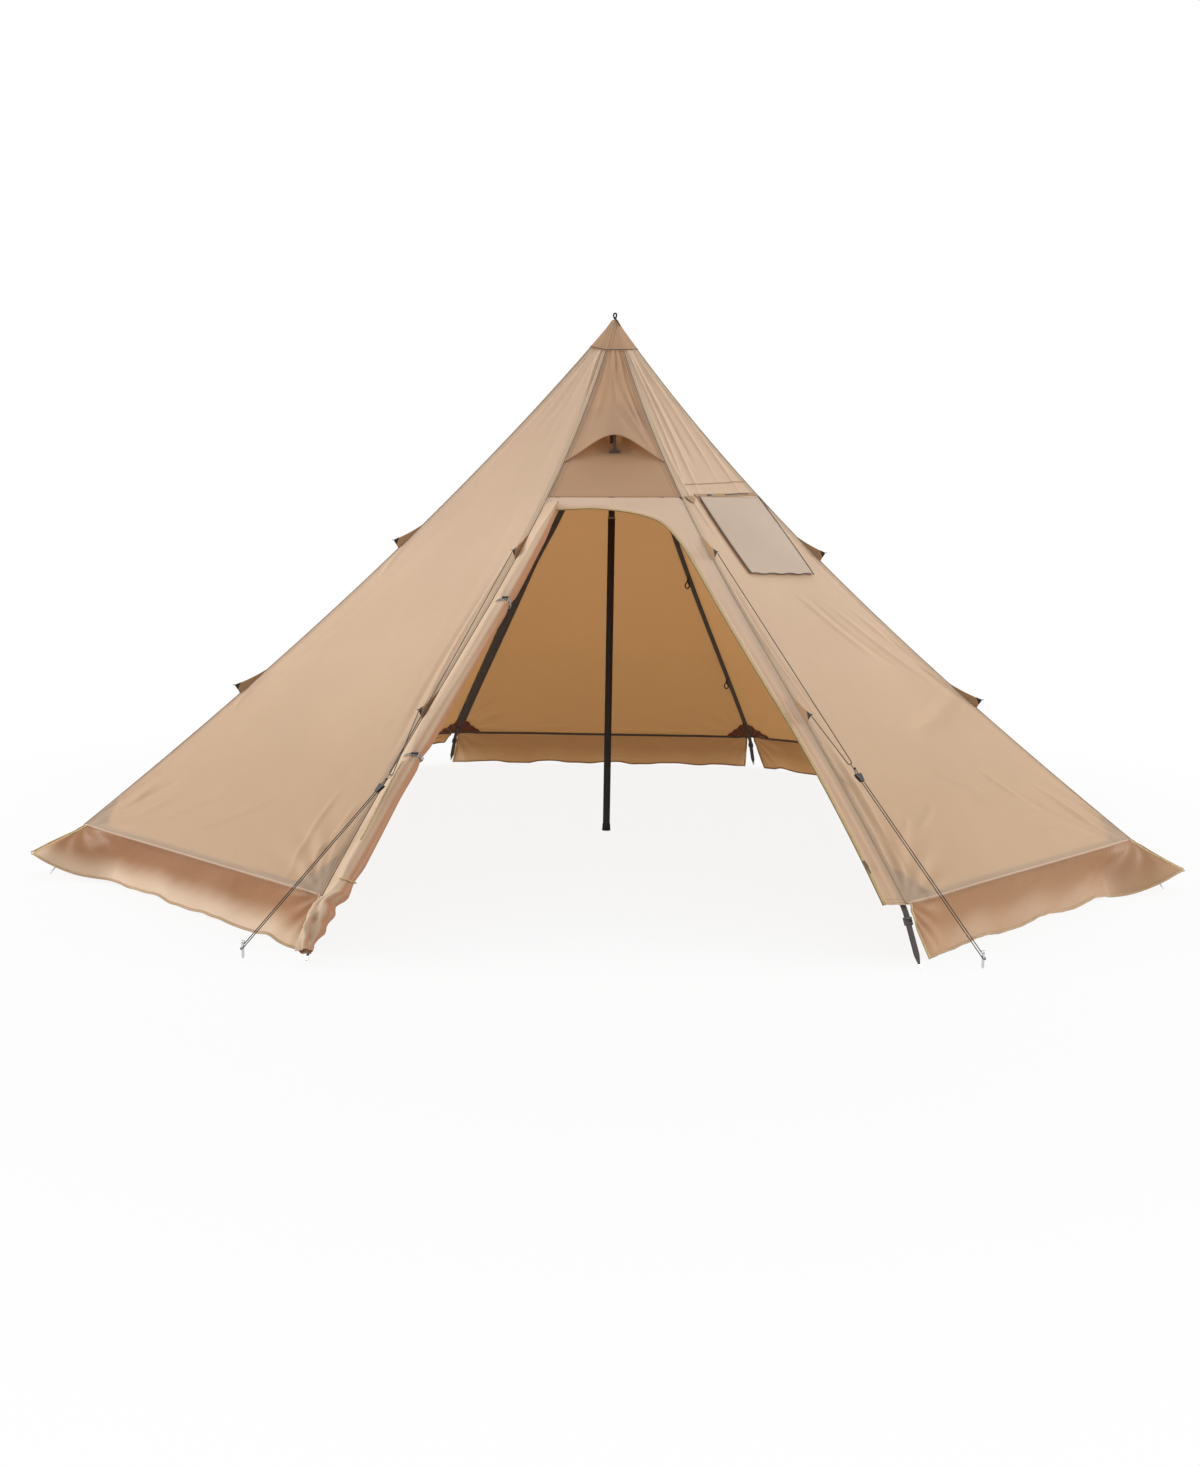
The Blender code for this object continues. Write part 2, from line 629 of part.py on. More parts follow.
def skirts():
    """The ground skirts hang from the hem, bow in and flare out, and wave along their lower edge.

    Their ends slant back at the front and rear corners, and are pulled out and up at the side corners.
    """
    for k in range(1, 8):
        first, last = corner(k), corner(k + 1)
        way = (last - first).normalized()
        length = (last - first).length - 2 * SKIRT_END_GAP

        def point(across, down, k=k, first=first, way=way, length=length):
            spot = first + way * (SKIRT_END_GAP + across * length)
            spot.z -= SKIRT_DROP
            wave = math.sin(2 * math.pi * across * length / SKIRT_WAVE_LENGTH + 1.7 * k)
            pulls = (1 - smooth(0.0, SKIRT_PULL_SHARE, across), smooth(1.0 - SKIRT_PULL_SHARE, 1.0, across))
            calm = 1 - max(pulls)
            foot = SKIRT_FLOOR_CLEARANCE + 0.5 * SKIRT_WAVE * (1 + wave) * calm
            flare = (SKIRT_FLARE + 0.25 * SKIRT_WAVE * wave) * down ** 1.2
            out = hem_normal(k) * (flare - SKIRT_BELLY * calm * math.sin(math.pi * down))
            for pull, edge, back in zip(pulls, (k, k + 1), (way, -way)):
                if CORNER_NAMES[edge % 8] in SIDE_CORNERS:
                    out = out + outward(edge) * (SKIRT_CORNER_REACH * pull * down)
                    out = out - hem_normal(k) * (flare * pull)
                    foot += SKIRT_CORNER_LIFT * pull * pull
                else:
                    out = out + back * (SKIRT_SLANT * pull * down)
            return spot + out - Vector((0.0, 0.0, (spot.z - foot) * down))

        sheet("skirt_" + PANEL_NAMES[k], point, shares(0.0, 1.0, 20), shares(0.0, 1.0, 4), CLOTH, skirt_cloth)


def reach_of(k):
    return SIDE_CORNER_REACH if CORNER_NAMES[k % 8] in SIDE_CORNERS else CORNER_REACH


def ridge_webbing():
    """Webbing under each seam, with a thin fin through it that carries the two pull-out tabs."""
    half, fin = WEBBING_WIDTH / 2, FIN_THICKNESS / 2
    top_share, low_share, end_share = WEBBING_END_SHARES
    for k, name in enumerate(CORNER_NAMES):
        length = (ridge_point(k, 1.0) - ridge_point(k, 0.0)).length
        places = [(down, 0.0) for down in (top_share, *stations()[1:-1], low_share)]
        for start in TAB_START_SHARES:
            reach, back = TAB_LENGTH / length, TAB_RETURN / length
            places = [s for s in places if not start - back < s[0] < start + reach + 2 * back]
            places += [(start, 0.0), (start + reach, TAB_REACH), (start + reach + back, 0.0)]
        places.append((end_share, STRAP_RIB - WEBBING_DEPTH))
        rings = []
        for down, reach in sorted(places):
            spot = ridge_point(k, down)
            normal, across = ridge_frame(k, down)[1:]
            under, beside, depth = band_frame(k, down)
            bottom = depth + WEBBING_THICKNESS
            outline = [
                (fin, -depth), (half, -depth), (half, -bottom), (-half, -bottom), (-half, -depth), (-fin, -depth),
            ]
            ring = [spot + beside * a + under * n for a, n in outline]
            tip = spot + normal * reach
            rings.append([tip + across * fin, *ring, tip - across * fin])
        top, way, face, across, length = strap_frame(k)
        for place, wide, rib in (
            (0.0, STRAP_WIDTH / 2, STRAP_RIB), (length - STRAP_POINT_LENGTH, STRAP_WIDTH / 2, STRAP_RIB),
            (length, STRAP_POINT_WIDTH / 2, STRAP_RIB / 2),
        ):
            spot = top + way * place
            deep = WEBBING_THICKNESS
            outline = [
                (fin, deep + rib), (fin, deep), (wide, deep), (wide, 0.0), (-wide, 0.0), (-wide, deep),
                (-fin, deep), (-fin, deep + rib),
            ]
            rings.append([spot + across * a + face * n for a, n in outline])
        loft("ridge_webbing_" + name, rings, webbing)
        frame = Matrix((
            (across.x, way.x, face.x, top.x), (across.y, way.y, face.y, top.y),
            (across.z, way.z, face.z, top.z), (0.0, 0.0, 0.0, 1.0),
        ))
        buckle("corner_buckle_" + name, frame @ Matrix.Translation((0.0, BUCKLE_DISTANCE, WEBBING_THICKNESS / 2)))
        print("strap", name, tuple(round(v, 5) for v in way), "length", round(length, 4))


def strap_frame(k):
    """The corner's strap: its top, direction down, outward face, width's direction and length."""
    normal, across = ridge_frame(k, 1.0)[1:]
    top = ridge_point(k, 1.0) - normal * (WEBBING_DEPTH + WEBBING_THICKNESS) - Vector((0.0, 0.0, STRAP_TOP_GAP))
    foot = corner(k) + outward(k) * reach_of(k)
    foot.z = STRAP_FLOOR_CLEARANCE
    way = (foot - top).normalized()
    face = across.cross(way).normalized()
    if face.z < 0:
        face = -face
    return top, way, face, across, (foot - top).length


def buckle(name, frame):
    """A ladder-lock: a frame that the strap runs through, with a thicker grip bar at its upper end."""
    wide = STRAP_WIDTH / 2 + BUCKLE_CLEARANCE
    deep = WEBBING_THICKNESS / 2 + STRAP_RIB + BUCKLE_CLEARANCE
    rings = []
    for along, swell in ((0.0, 0.5), (0.15, 1.0), (0.4, 1.0), (0.5, 0.4), (0.85, 0.4), (1.0, 0.2)):
        outer_wide = wide + BUCKLE_WALL
        outer_deep = deep + BUCKLE_WALL * (0.3 + 0.7 * swell)
        outer = [
            (-outer_wide, -outer_deep), (outer_wide, -outer_deep), (outer_wide, outer_deep), (-outer_wide, outer_deep),
        ]
        inner = [(-wide, -deep), (wide, -deep), (wide, deep), (-wide, deep)]
        rings.append((along * BUCKLE_LENGTH, outer, inner))
    shape = bmesh.new()
    rows = [[shape.verts.new(frame @ Vector((x, y, z))) for x, z in outer] for y, outer, _ in rings]
    rows += [[shape.verts.new(frame @ Vector((x, y, z))) for x, z in inner] for y, _, inner in reversed(rings)]
    for first, second in zip(rows, [*rows[1:], rows[0]]):
        for i in range(4):
            j = (i + 1) % 4
            shape.faces.new((first[i], first[j], second[j], second[i]))
    bmesh.ops.recalc_face_normals(shape, faces=shape.faces)
    node(name, mesh_of(shape, name), black_plastic)


def cap():
    """The peak's reinforcing cap, a small closed pyramid over the tops of the panels."""
    shape = bmesh.new()
    rows = []
    for down in (0.0, 0.012, CAP_SHARE * 0.6, CAP_SHARE):
        row = []
        for k in range(8):
            spot = ridge_point(k, down) + outward(k) * (CAP_OFFSET if down else CAP_TOP_RADIUS)
            if not down:
                spot.z = PEAK_HEIGHT - CAP_TOP_RADIUS / 4
            row.append(shape.verts.new(spot))
        rows.append(row)
    for first, second in zip(rows, rows[1:]):
        for i in range(8):
            j = (i + 1) % 8
            shape.faces.new((first[i], second[i], second[j], first[j]))
    shape.faces.new(rows[0])
    bmesh.ops.recalc_face_normals(shape, faces=shape.faces)
    thing = node("peak_cap", mesh_of(shape, "peak_cap"), tent_cloth)
    shell = thing.modifiers.new("thickness", "SOLIDIFY")
    shell.thickness = CAP_THICKNESS
    shell.offset = -1.0
    shell.use_even_offset = True
    bottom = PEAK_HEIGHT - CAP_TOP_RADIUS / 4 + SEAM_GAP
    middle = bottom + LOOP_THICKNESS / 2 + LOOP_RADIUS
    ring = [
        Vector((LOOP_RADIUS * math.sin(a), 0.0, middle - LOOP_RADIUS * math.cos(a)))
        for a in (2 * math.pi * i / 16 for i in range(16))
    ]
    tube("peak_loop", ring, LOOP_THICKNESS / 2, webbing, cyclic=True)


def pole():
    """The centre pole: a lower tube on a rubber foot, and an upper tube that slides in it."""
    bore = POLE_RADIUS - POLE_WALL
    upper = bore - POLE_CLEARANCE
    turned("pole_foot", [
        (0.0, FOOT_HEIGHT), (FOOT_RADIUS * 0.92, FOOT_HEIGHT), (FOOT_RADIUS, FOOT_HEIGHT * 0.3),
        (FOOT_RADIUS, 0.0), (0.0, 0.0),
    ], rubber)
    lower_end = FOOT_HEIGHT + SEAM_GAP
    turned("pole_lower", [
        (bore, POLE_JOINT_HEIGHT), (POLE_RADIUS, POLE_JOINT_HEIGHT), (POLE_RADIUS, lower_end),
        (bore, lower_end), (bore, POLE_JOINT_HEIGHT),
    ], pole_metal)
    ring_bottom = POLE_JOINT_HEIGHT + SEAM_GAP
    ring_top = ring_bottom + POLE_RING_HEIGHT
    turned("pole_lock_ring", [
        (bore, ring_top), (POLE_RING_RADIUS, ring_top), (POLE_RING_RADIUS, ring_bottom), (bore, ring_bottom),
        (bore, ring_top),
    ], grey_metal)
    upper_end = POLE_JOINT_HEIGHT - POLE_OVERLAP
    turned("pole_upper", [
        (upper - POLE_WALL, POLE_TOP_HEIGHT), (upper, POLE_TOP_HEIGHT), (upper, upper_end),
        (upper - POLE_WALL, upper_end), (upper - POLE_WALL, POLE_TOP_HEIGHT),
    ], pole_metal)
    tip_bottom = POLE_TOP_HEIGHT + SEAM_GAP
    turned("pole_tip", [
        (0.0, POLE_TIP_HEIGHT), (POLE_TIP_RADIUS, POLE_TIP_HEIGHT),
        (upper * 0.72, POLE_TIP_HEIGHT - POLE_TIP_LENGTH * 0.26),
        (upper, tip_bottom + POLE_TIP_LENGTH * 0.22), (upper, tip_bottom), (0.0, tip_bottom),
    ], rubber)


def straight(start, end):
    """Points along a straight run, its end left out."""
    steps = max(round((end - start).length / LINE_STEP), 1)
    return [start.lerp(end, i / steps) for i in range(steps)]


def turn(middle, start, bulge, steps=6):
    """Points half way round a circle, from one side to the other by way of the bulge."""
    return [
        middle + start * math.cos(math.pi * i / steps) + bulge * math.sin(math.pi * i / steps)
        for i in range(steps + 1)
    ]


def guylines():
    """On each side a bridle runs from the ridge's tabs through a ring, and a loop runs on round the peg."""
    sides = (("left", FRONT_LEFT_RIDGE, 7, 7), ("right", FRONT_RIGHT_RIDGE, 2, 1))
    for (side, ridge, side_corner, panel), share, back, out in zip(sides, RING_SHARES, RING_BACK, RING_OUT):
        length = (ridge_point(ridge, 1.0) - ridge_point(ridge, 0.0)).length
        upper, lower = (
            ridge_point(ridge, start + TAB_LENGTH / length, TAB_REACH + LINE_OUTSET) for start in TAB_START_SHARES
        )
        way = (corner(side_corner) - corner(ridge)).normalized()
        peg = corner(ridge) + way * GUY_ALONG + hem_normal(panel) * GUY_OUTWARD
        peg.z = GUY_HEIGHT
        ring = upper.lerp(peg, share) - way * back + hem_normal(panel) * out
        pull = (peg - ring).normalized()
        beside = pull.cross(Vector((0.0, 0.0, 1.0))).normalized()
        if side == "left":
            beside = -beside
        flat = pull.cross(beside).normalized()

        rise = ((upper + lower) / 2 - ring).normalized()
        spread = pull.cross(rise).normalized()
        if spread.dot(upper - lower) < 0:
            spread = -spread
        wire_gap = RING_WIRE_RADIUS + LINE_GAP + LINE_RADIUS
        bend = ring + rise * RING_RADIUS
        turned_back = turn(bend + rise * (LINE_BEND - wire_gap), spread * LINE_BEND, rise * -LINE_BEND)
        points = [*straight(upper, turned_back[0]), *turned_back, *reversed(straight(lower, turned_back[-1]))]
        tube("guyline_bridle_" + side, points, LINE_RADIUS, cord)
        circle = [
            ring + rise * (RING_RADIUS * math.cos(a)) + spread.cross(rise) * (RING_RADIUS * math.sin(a))
            for a in (2 * math.pi * i / 20 for i in range(20))
        ]
        tube("guyline_ring_" + side, circle, RING_WIRE_RADIUS, grey_metal, cyclic=True)
        print("bridle", side, len(points), round(sum((b - a).length for a, b in zip(points, points[1:])), 4))

        half = PEG_RADIUS + LINE_GAP + LINE_RADIUS
        start = ring + pull * (RING_RADIUS + RING_WIRE_RADIUS + 2 * LINE_GAP)
        first_side = start + beside * half
        middle = peg + pull * PEG_FORWARD
        first_end, last_end = middle + beside * half, middle - beside * half
        tail = ring + pull * (RUNNER_DISTANCE - LOOP_TAIL) - beside * half
        lead = [start, start + pull * 2 * LINE_RADIUS, first_side + pull * 4 * half]
        points = [*through(lead, 3)[:-1], *straight(lead[-1], first_end)]
        points += [*turn(middle, beside * half, pull * half), *reversed(straight(tail, last_end))]
        tube("guyline_loop_" + side, points, LINE_RADIUS, cord)
        print("loop", side, len(points), round(sum((b - a).length for a, b in zip(points, points[1:])), 4))

        slot, web = LINE_RADIUS + LINE_GAP, half - LINE_RADIUS - LINE_GAP
        high = RUNNER_THICKNESS / 2
        rings = []
        for place, width in ((0.0, RUNNER_TOP_WIDTH), (0.35, RUNNER_TOP_WIDTH * 0.93), (1.0, RUNNER_BOTTOM_WIDTH)):
            wide = width / 2
            section = [
                (wide, high), (-wide, high), (-wide, slot), (-web, slot), (-web, -slot), (-wide, -slot),
                (-wide, -high), (wide, -high), (wide, -slot), (web, -slot), (web, slot), (wide, slot),
            ]
            spot = ring + pull * (RUNNER_DISTANCE + place * RUNNER_LENGTH)
            rings.append([spot + beside * x + flat * y for x, y in section])
        loft("guyline_runner_" + side, rings, black_plastic)
        stake = turned("guy_peg_" + side, [
            (0.0, PEG_HEIGHT), (PEG_HEAD_RADIUS * 0.8, PEG_HEIGHT), (PEG_HEAD_RADIUS, PEG_HEIGHT - PEG_HEAD_HEIGHT / 2),
            (PEG_RADIUS, PEG_HEIGHT - PEG_HEAD_HEIGHT), (PEG_RADIUS, PEG_RADIUS), (PEG_RADIUS / 2, 0.0), (0.0, 0.0),
        ], grey_metal, sides=16)
        stake.location = (peg.x, peg.y, 0.0)
        for label, point in (("upper", upper), ("lower", lower), ("ring", ring), ("peg", peg), ("axis", pull)):
            print("guy", side, label, [round(v, 5) for v in point])


for thing in list(bpy.data.objects):
    bpy.data.objects.remove(thing)

parts = bpy.data.collections.new("hot_tent")
bpy.context.scene.collection.children.link(parts)

tent_cloth = material("tent_cloth", (0.62, 0.46, 0.32), 0.8)
skirt_cloth = material("skirt_cloth", (0.42, 0.26, 0.17), 0.8)
mesh_cloth = material("mesh_cloth", (0.05, 0.04, 0.03), 0.9)
heat_cloth = material("heat_cloth", (0.35, 0.33, 0.3), 0.85)
flap_cloth = material("flap_cloth", (0.62, 0.5, 0.4), 0.75)
zip_tape = material("zip_tape", (0.28, 0.2, 0.09), 0.7)
webbing = material("webbing", (0.03, 0.025, 0.022), 0.85)
elastic = material("elastic", (0.5, 0.5, 0.48), 0.7)
black_plastic = material("black_plastic", (0.02, 0.02, 0.02), 0.45)
cord = material("cord", (0.06, 0.04, 0.03), 0.8)
pole_metal = material("pole_metal", (0.03, 0.02, 0.015), 0.4, 0.6)
grey_metal = material("grey_metal", (0.5, 0.5, 0.5), 0.35, 1.0)
rubber = material("rubber", (0.02, 0.02, 0.02), 0.9)

side_panels()
cap()
vent()
door_frame()
door_roll()
stove_jack()
skirts()
ridge_webbing()
pole()
guylines()
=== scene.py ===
import math

import bmesh
import bpy
import numpy as np
from mathutils import Matrix, Vector


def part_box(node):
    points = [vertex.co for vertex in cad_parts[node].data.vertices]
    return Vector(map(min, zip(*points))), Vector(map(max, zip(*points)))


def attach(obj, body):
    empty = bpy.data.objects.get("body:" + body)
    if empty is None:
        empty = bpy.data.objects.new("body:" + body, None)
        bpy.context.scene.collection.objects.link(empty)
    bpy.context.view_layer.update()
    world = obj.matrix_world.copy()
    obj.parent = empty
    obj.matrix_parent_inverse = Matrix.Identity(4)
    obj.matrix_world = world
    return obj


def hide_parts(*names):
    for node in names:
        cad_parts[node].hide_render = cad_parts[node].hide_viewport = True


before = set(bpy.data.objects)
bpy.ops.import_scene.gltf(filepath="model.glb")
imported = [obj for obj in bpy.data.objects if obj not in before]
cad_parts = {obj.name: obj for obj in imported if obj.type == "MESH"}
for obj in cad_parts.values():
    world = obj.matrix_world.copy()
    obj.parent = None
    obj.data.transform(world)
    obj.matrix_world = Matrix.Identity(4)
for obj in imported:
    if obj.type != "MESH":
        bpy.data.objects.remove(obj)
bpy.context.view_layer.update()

# The tent's plan and sag, the same values as in the part's source, in metres
PEAK, HEM = 2.2, 0.178
FRONT_HALF, FRONT_DEPTH, SIDE_WIDTH, SIDE_HALF = 0.87, 1.875, 1.957, 0.898
SAGS = (0.11, 0.1, 0.098, 0.095, 0.093, 0.09, 0.08, 0.067)
SAG_SKEWS = (1.7, 1.8, 0.4, 0.9, 1.4, 1.4, 1.0, 0.2)
NAMES = (
    "front_left", "front_right", "right_front", "right_back",
    "back_right", "back_left", "left_back", "left_front",
)
PANELS = ("front", "front_right", "right", "back_right", "back", "back_left", "left", "front_left")
CORNERS = (
    (-FRONT_HALF, -FRONT_DEPTH), (FRONT_HALF, -FRONT_DEPTH),
    (SIDE_WIDTH, -SIDE_HALF), (SIDE_WIDTH, SIDE_HALF),
    (FRONT_HALF, FRONT_DEPTH), (-FRONT_HALF, FRONT_DEPTH),
    (-SIDE_WIDTH, SIDE_HALF), (-SIDE_WIDTH, -SIDE_HALF),
)
# The door band's inner and outer edge along the arch, as shares across and down the front gore
DOOR_EDGE = (
    ((0.0, 0.364), (0.0, 0.3395)), ((0.138, 0.361), (0.138, 0.3395)), ((0.344, 0.3585), (0.344, 0.3395)),
    ((0.493, 0.362), (0.5, 0.3395)), ((0.664, 0.37), (0.68, 0.3395)), ((0.795, 0.385), (0.86, 0.3395)),
    ((0.865, 0.416), (1.0, 0.346)), ((0.9, 0.465), (1.0, 0.44)), ((0.925, 0.556), (1.0, 0.545)),
    ((0.944, 0.657), (1.0, 0.65)), ((0.957, 0.742), (1.0, 0.742)), ((0.963, 0.822), (1.0, 0.822)),
    ((0.965, 0.91), (1.0, 0.91)), ((0.965, 1.0), (1.0, 1.0)),
)

# The camera that the photograph's perspective gives: its place in metres and its turns in radians
CAMERA_PLACE = (-0.0842, -5.5631, 1.1627)
CAMERA_PITCH, CAMERA_YAW, CAMERA_ROLL = -0.13, -0.0089, -0.0164
FOCAL_PIXELS, PHOTO_HEIGHT, SENSOR = 1274.6, 1466, 36


def add_object(name, data):
    thing = bpy.data.objects.new(name, data)
    bpy.context.scene.collection.objects.link(thing)
    return thing


def camera():
    turn = Matrix.Rotation(CAMERA_YAW, 4, "Z") @ Matrix.Rotation(CAMERA_PITCH, 4, "X")
    turn = turn @ Matrix.Rotation(CAMERA_ROLL, 4, "Y") @ Matrix.Rotation(math.pi / 2, 4, "X")
    data = bpy.data.cameras.new("camera")
    data.lens = FOCAL_PIXELS / PHOTO_HEIGHT * SENSOR
    data.sensor_width = SENSOR
    eye = add_object("camera", data)
    eye.matrix_world = Matrix.Translation(CAMERA_PLACE) @ turn
    bpy.context.scene.camera = eye


camera()

# Guylines and tabs, in metres or shares of the ridge: the same values as in the part's source
LINE_OUTSET, LINE_BEND, PEG_RADIUS = -0.0012, 0.0062, 0.0042
GUY_ALONG, GUY_OUTWARD, GUY_HEIGHT = 0.135, 0.182, 0.036
RING_SHARES, RING_BACK, RING_OUT = (0.603, 0.575), (0.191, 0.065), (0.054, 0.034)
TAB_START, TAB_LENGTH, TAB_REACH, TAB_RETURN = (0.41, 0.697), 0.136, 0.036, 0.013
LINE_RADIUS, LINE_GAP, RING_RADIUS, RING_WIRE = 0.0015, 0.0004, 0.0085, 0.0012

# Ridge webbing, in metres: half its width, the cloth over it and its middle's depth below that
BAND_HALF, BAND_CLOTH, BAND_DEPTH = 0.0125, 0.002, 0.0029

# Shares down a gore: the gores' upper edge, the vent panel's two edges, its strut and the seam over the door
GORE_TOP, VENT_TOP, VENT_FOOT, STRUT_FOOT, DOOR_TOP = 0.047, 0.17, 0.337, 0.253, 0.3385

# The stove jack: its opening and middle as shares, then its hole's radius and its lap in metres
JACK_LEFT, JACK_RIGHT, JACK_TOP, JACK_FOOT = 0.34, 0.7, 0.375, 0.46
JACK_MIDDLE, JACK_HOLE, JACK_LAP = (0.52, 0.4175), 0.055, 0.03

# Light: the world's strength, then each lamp's name, place, target, power and size
WORLD_LIGHT = 0.52
LAMPS = (
    ("top", (0.0, 1.5, 7.0), (0, 0, 0.8), 150, 6.0),
    ("left", (-7.5, -1.5, 2.8), (-0.6, -0.4, 0.8), 420, 4.0),
    ("right", (7.5, -1.8, 2.8), (0.6, -0.4, 0.8), 400, 4.0),
)


# Geometry helpers

# The step in shares down a ridge that gives its slope
SLOPE_STEP = 1e-3


def unit(a):
    a = np.asarray(a, float)
    return a / np.maximum(np.linalg.norm(a, axis=-1, keepdims=True), 1e-12)


def full_turn(count):
    return np.linspace(0, 2 * math.pi, count, endpoint=False)


def grid(across, down):
    """Shares across and down a sheet, each from its start, end and count."""
    return np.meshgrid(np.linspace(*across), np.linspace(*down), indexing="ij")


def square_to(direction, line):
    """The directions square to a line and to another direction."""
    return unit(np.cross(direction, unit(np.gradient(line, axis=0))))


def smooth(low, high, x):
    y = np.clip((np.asarray(x, float) - low) / (high - low), 0.0, 1.0)
    return y * y * (3.0 - 2.0 * y)


def within(u, edge):
    """Fades to nothing at both ends of 0 to 1."""
    return smooth(0, edge, u) * smooth(0, edge, 1 - u)


def corner(k):
    return np.array([*CORNERS[k % 8], HEM])


def outward(k):
    return unit([*CORNERS[k % 8], 0.0])


def hem_normal(k):
    edge = corner(k + 1) - corner(k)
    return unit([edge[1], -edge[0], 0.0])


def ridge(k, t, out=0.0):
    """Points of a ridge at shares t of the way down, so far out of the sagging line."""
    x, y = CORNERS[k % 8]
    reach, fall = math.hypot(x, y), PEAK - HEM
    length = math.hypot(reach, fall)
    t = np.asarray(t, float)
    sag = 4 * SAGS[k % 8] * t * (1 - t) * (1 + SAG_SKEWS[k % 8] * (0.5 - t)) - out
    radial = t * reach - sag * fall / length
    return np.stack([radial * x / reach, radial * y / reach, PEAK - t * fall - sag * reach / length], -1)


def ridge_length(k):
    return float(np.linalg.norm(corner(k) - np.array([0, 0, PEAK])))


def ridge_frame(k, t):
    """The ridge's direction down, its outward normal and the level direction across it."""
    t = np.asarray(t, float)
    along = unit(ridge(k, t + SLOPE_STEP) - ridge(k, t - SLOPE_STEP))
    across = unit(np.cross(along, outward(k)))
    return along, unit(np.cross(across, along)), across


def gore(k, u, t, inset=0.0015):
    """Points of a gore at shares u across and t down."""
    first, last = ridge(k, t), ridge(k + 1, t)
    width = np.linalg.norm(last - first, axis=-1, keepdims=True)
    way = (last - first) / np.maximum(width, 1e-9)
    return first + way * (inset + np.asarray(u, float)[..., None] * (width - 2 * inset))


def gore_normal(k, t):
    t = np.asarray(t, float)
    right = ridge(k + 1, t) - ridge(k, t)
    above, below = t - SLOPE_STEP, t + SLOPE_STEP
    fall = ridge(k, below) - ridge(k, above) + ridge(k + 1, below) - ridge(k + 1, above)
    return unit(np.cross(fall, right))


def band_frame(k, t):
    """The webbing lies evenly under the two gores: its normal, its width's direction and its depth."""
    along = ridge_frame(k, t)[0]
    sides = gore_normal(k - 1, t), gore_normal(k, t)
    normal = sides[0] + sides[1]
    normal = unit(normal - along * np.sum(normal * along, -1, keepdims=True))
    close = np.minimum(*(np.sum(normal * side, -1) for side in sides))
    tilt = np.arccos(np.clip(close, -1.0, 1.0))
    depth = BAND_HALF * np.tan(tilt) + BAND_CLOTH / np.cos(tilt) + BAND_DEPTH
    return normal, unit(np.cross(along, normal)), depth


def noise(x, y, seed, octaves=3):
    """Smooth repeatable noise from sums of sines, about -1 to 1."""
    random = np.random.default_rng(seed)
    total = np.zeros(np.broadcast(x, y).shape)
    strength = 1.0
    for octave in range(octaves):
        for _ in range(4):
            angle = random.uniform(0, 2 * math.pi)
            wave = (2.0 ** octave) * random.uniform(0.7, 1.4)
            phase = random.uniform(0, 2 * math.pi)
            total += strength * np.sin(wave * (x * math.cos(angle) + y * math.sin(angle)) + phase) / 4
        strength *= 0.5
    return total


def catmull(points, steps):
    points = [np.asarray(p, float) for p in points]
    ends = [2 * points[0] - points[1], *points, 2 * points[-1] - points[-2]]
    line = []
    for a, b, c, d in zip(ends, ends[1:], ends[2:], ends[3:]):
        for i in range(steps):
            x = i / steps
            line.append(b + 0.5 * x * (c - a + x * (2 * a - 5 * b + 4 * c - d + x * (3 * (b - c) + d - a))))
    line.append(points[-1])
    return np.array(line)


def add_mesh(name, points, faces, material, uvs=(), smooth_faces=True):
    mesh = bpy.data.meshes.new(name)
    mesh.from_pydata(np.asarray(points).reshape(-1, 3).tolist(), [], faces)
    mesh.materials.append(material)
    loops = np.empty(len(mesh.loops), np.int32)
    mesh.loops.foreach_get("vertex_index", loops)
    for label, values in uvs:
        layer = mesh.uv_layers.new(name=label)
        layer.data.foreach_set("uv", np.asarray(values, np.float32).reshape(-1, 2)[loops].ravel())
    mesh.polygons.foreach_set("use_smooth", [smooth_faces] * len(mesh.polygons))
    mesh.update()
    return add_object(name, mesh)


def grid_faces(rows, columns, skip=None, closed=False):
    """Faces of a grid whose point (i, j) is number i * columns + j."""
    faces = []
    for i in range(rows - 1):
        for j in range(columns if closed else columns - 1):
            if skip is not None and skip[i, j]:
                continue
            n = (j + 1) % columns
            faces.append((i * columns + j, i * columns + n, (i + 1) * columns + n, (i + 1) * columns + j))
    return faces


def lengths(points, axis):
    """Running length along one axis of a grid of points."""
    steps = np.linalg.norm(np.diff(points, axis=axis), axis=-1)
    zero = np.zeros_like(np.take(steps, [0], axis=axis))
    return np.cumsum(np.concatenate([zero, steps], axis=axis), axis=axis)


def cloth(name, points, material, skip=None):
    """A sheet of cloth from a grid of points. Its maps hold each point's distance from its four edges."""
    across, down = lengths(points, 0), lengths(points, 1)
    near = np.stack([across, down], -1)
    far = np.stack([across[-1:] - across, down[:, -1:] - down], -1)
    faces = grid_faces(*points.shape[:2], skip)
    return add_mesh(name, points, faces, material, [("near", near), ("far", far)])


def declare(thing, body="tent", node=None):
    """Says which node the piece stands for and what it rides on."""
    if node:
        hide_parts(node)
    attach(thing, body)


def sheet(name, points, material, node, skip=None):
    """A cloth piece of the part."""
    thing = cloth(name, points, material, skip)
    declare(thing, node=node)


def fix_normals(thing):
    shape = bmesh.new()
    shape.from_mesh(thing.data)
    bmesh.ops.recalc_face_normals(shape, faces=shape.faces)
    shape.to_mesh(thing.data)
    shape.free()
    return thing


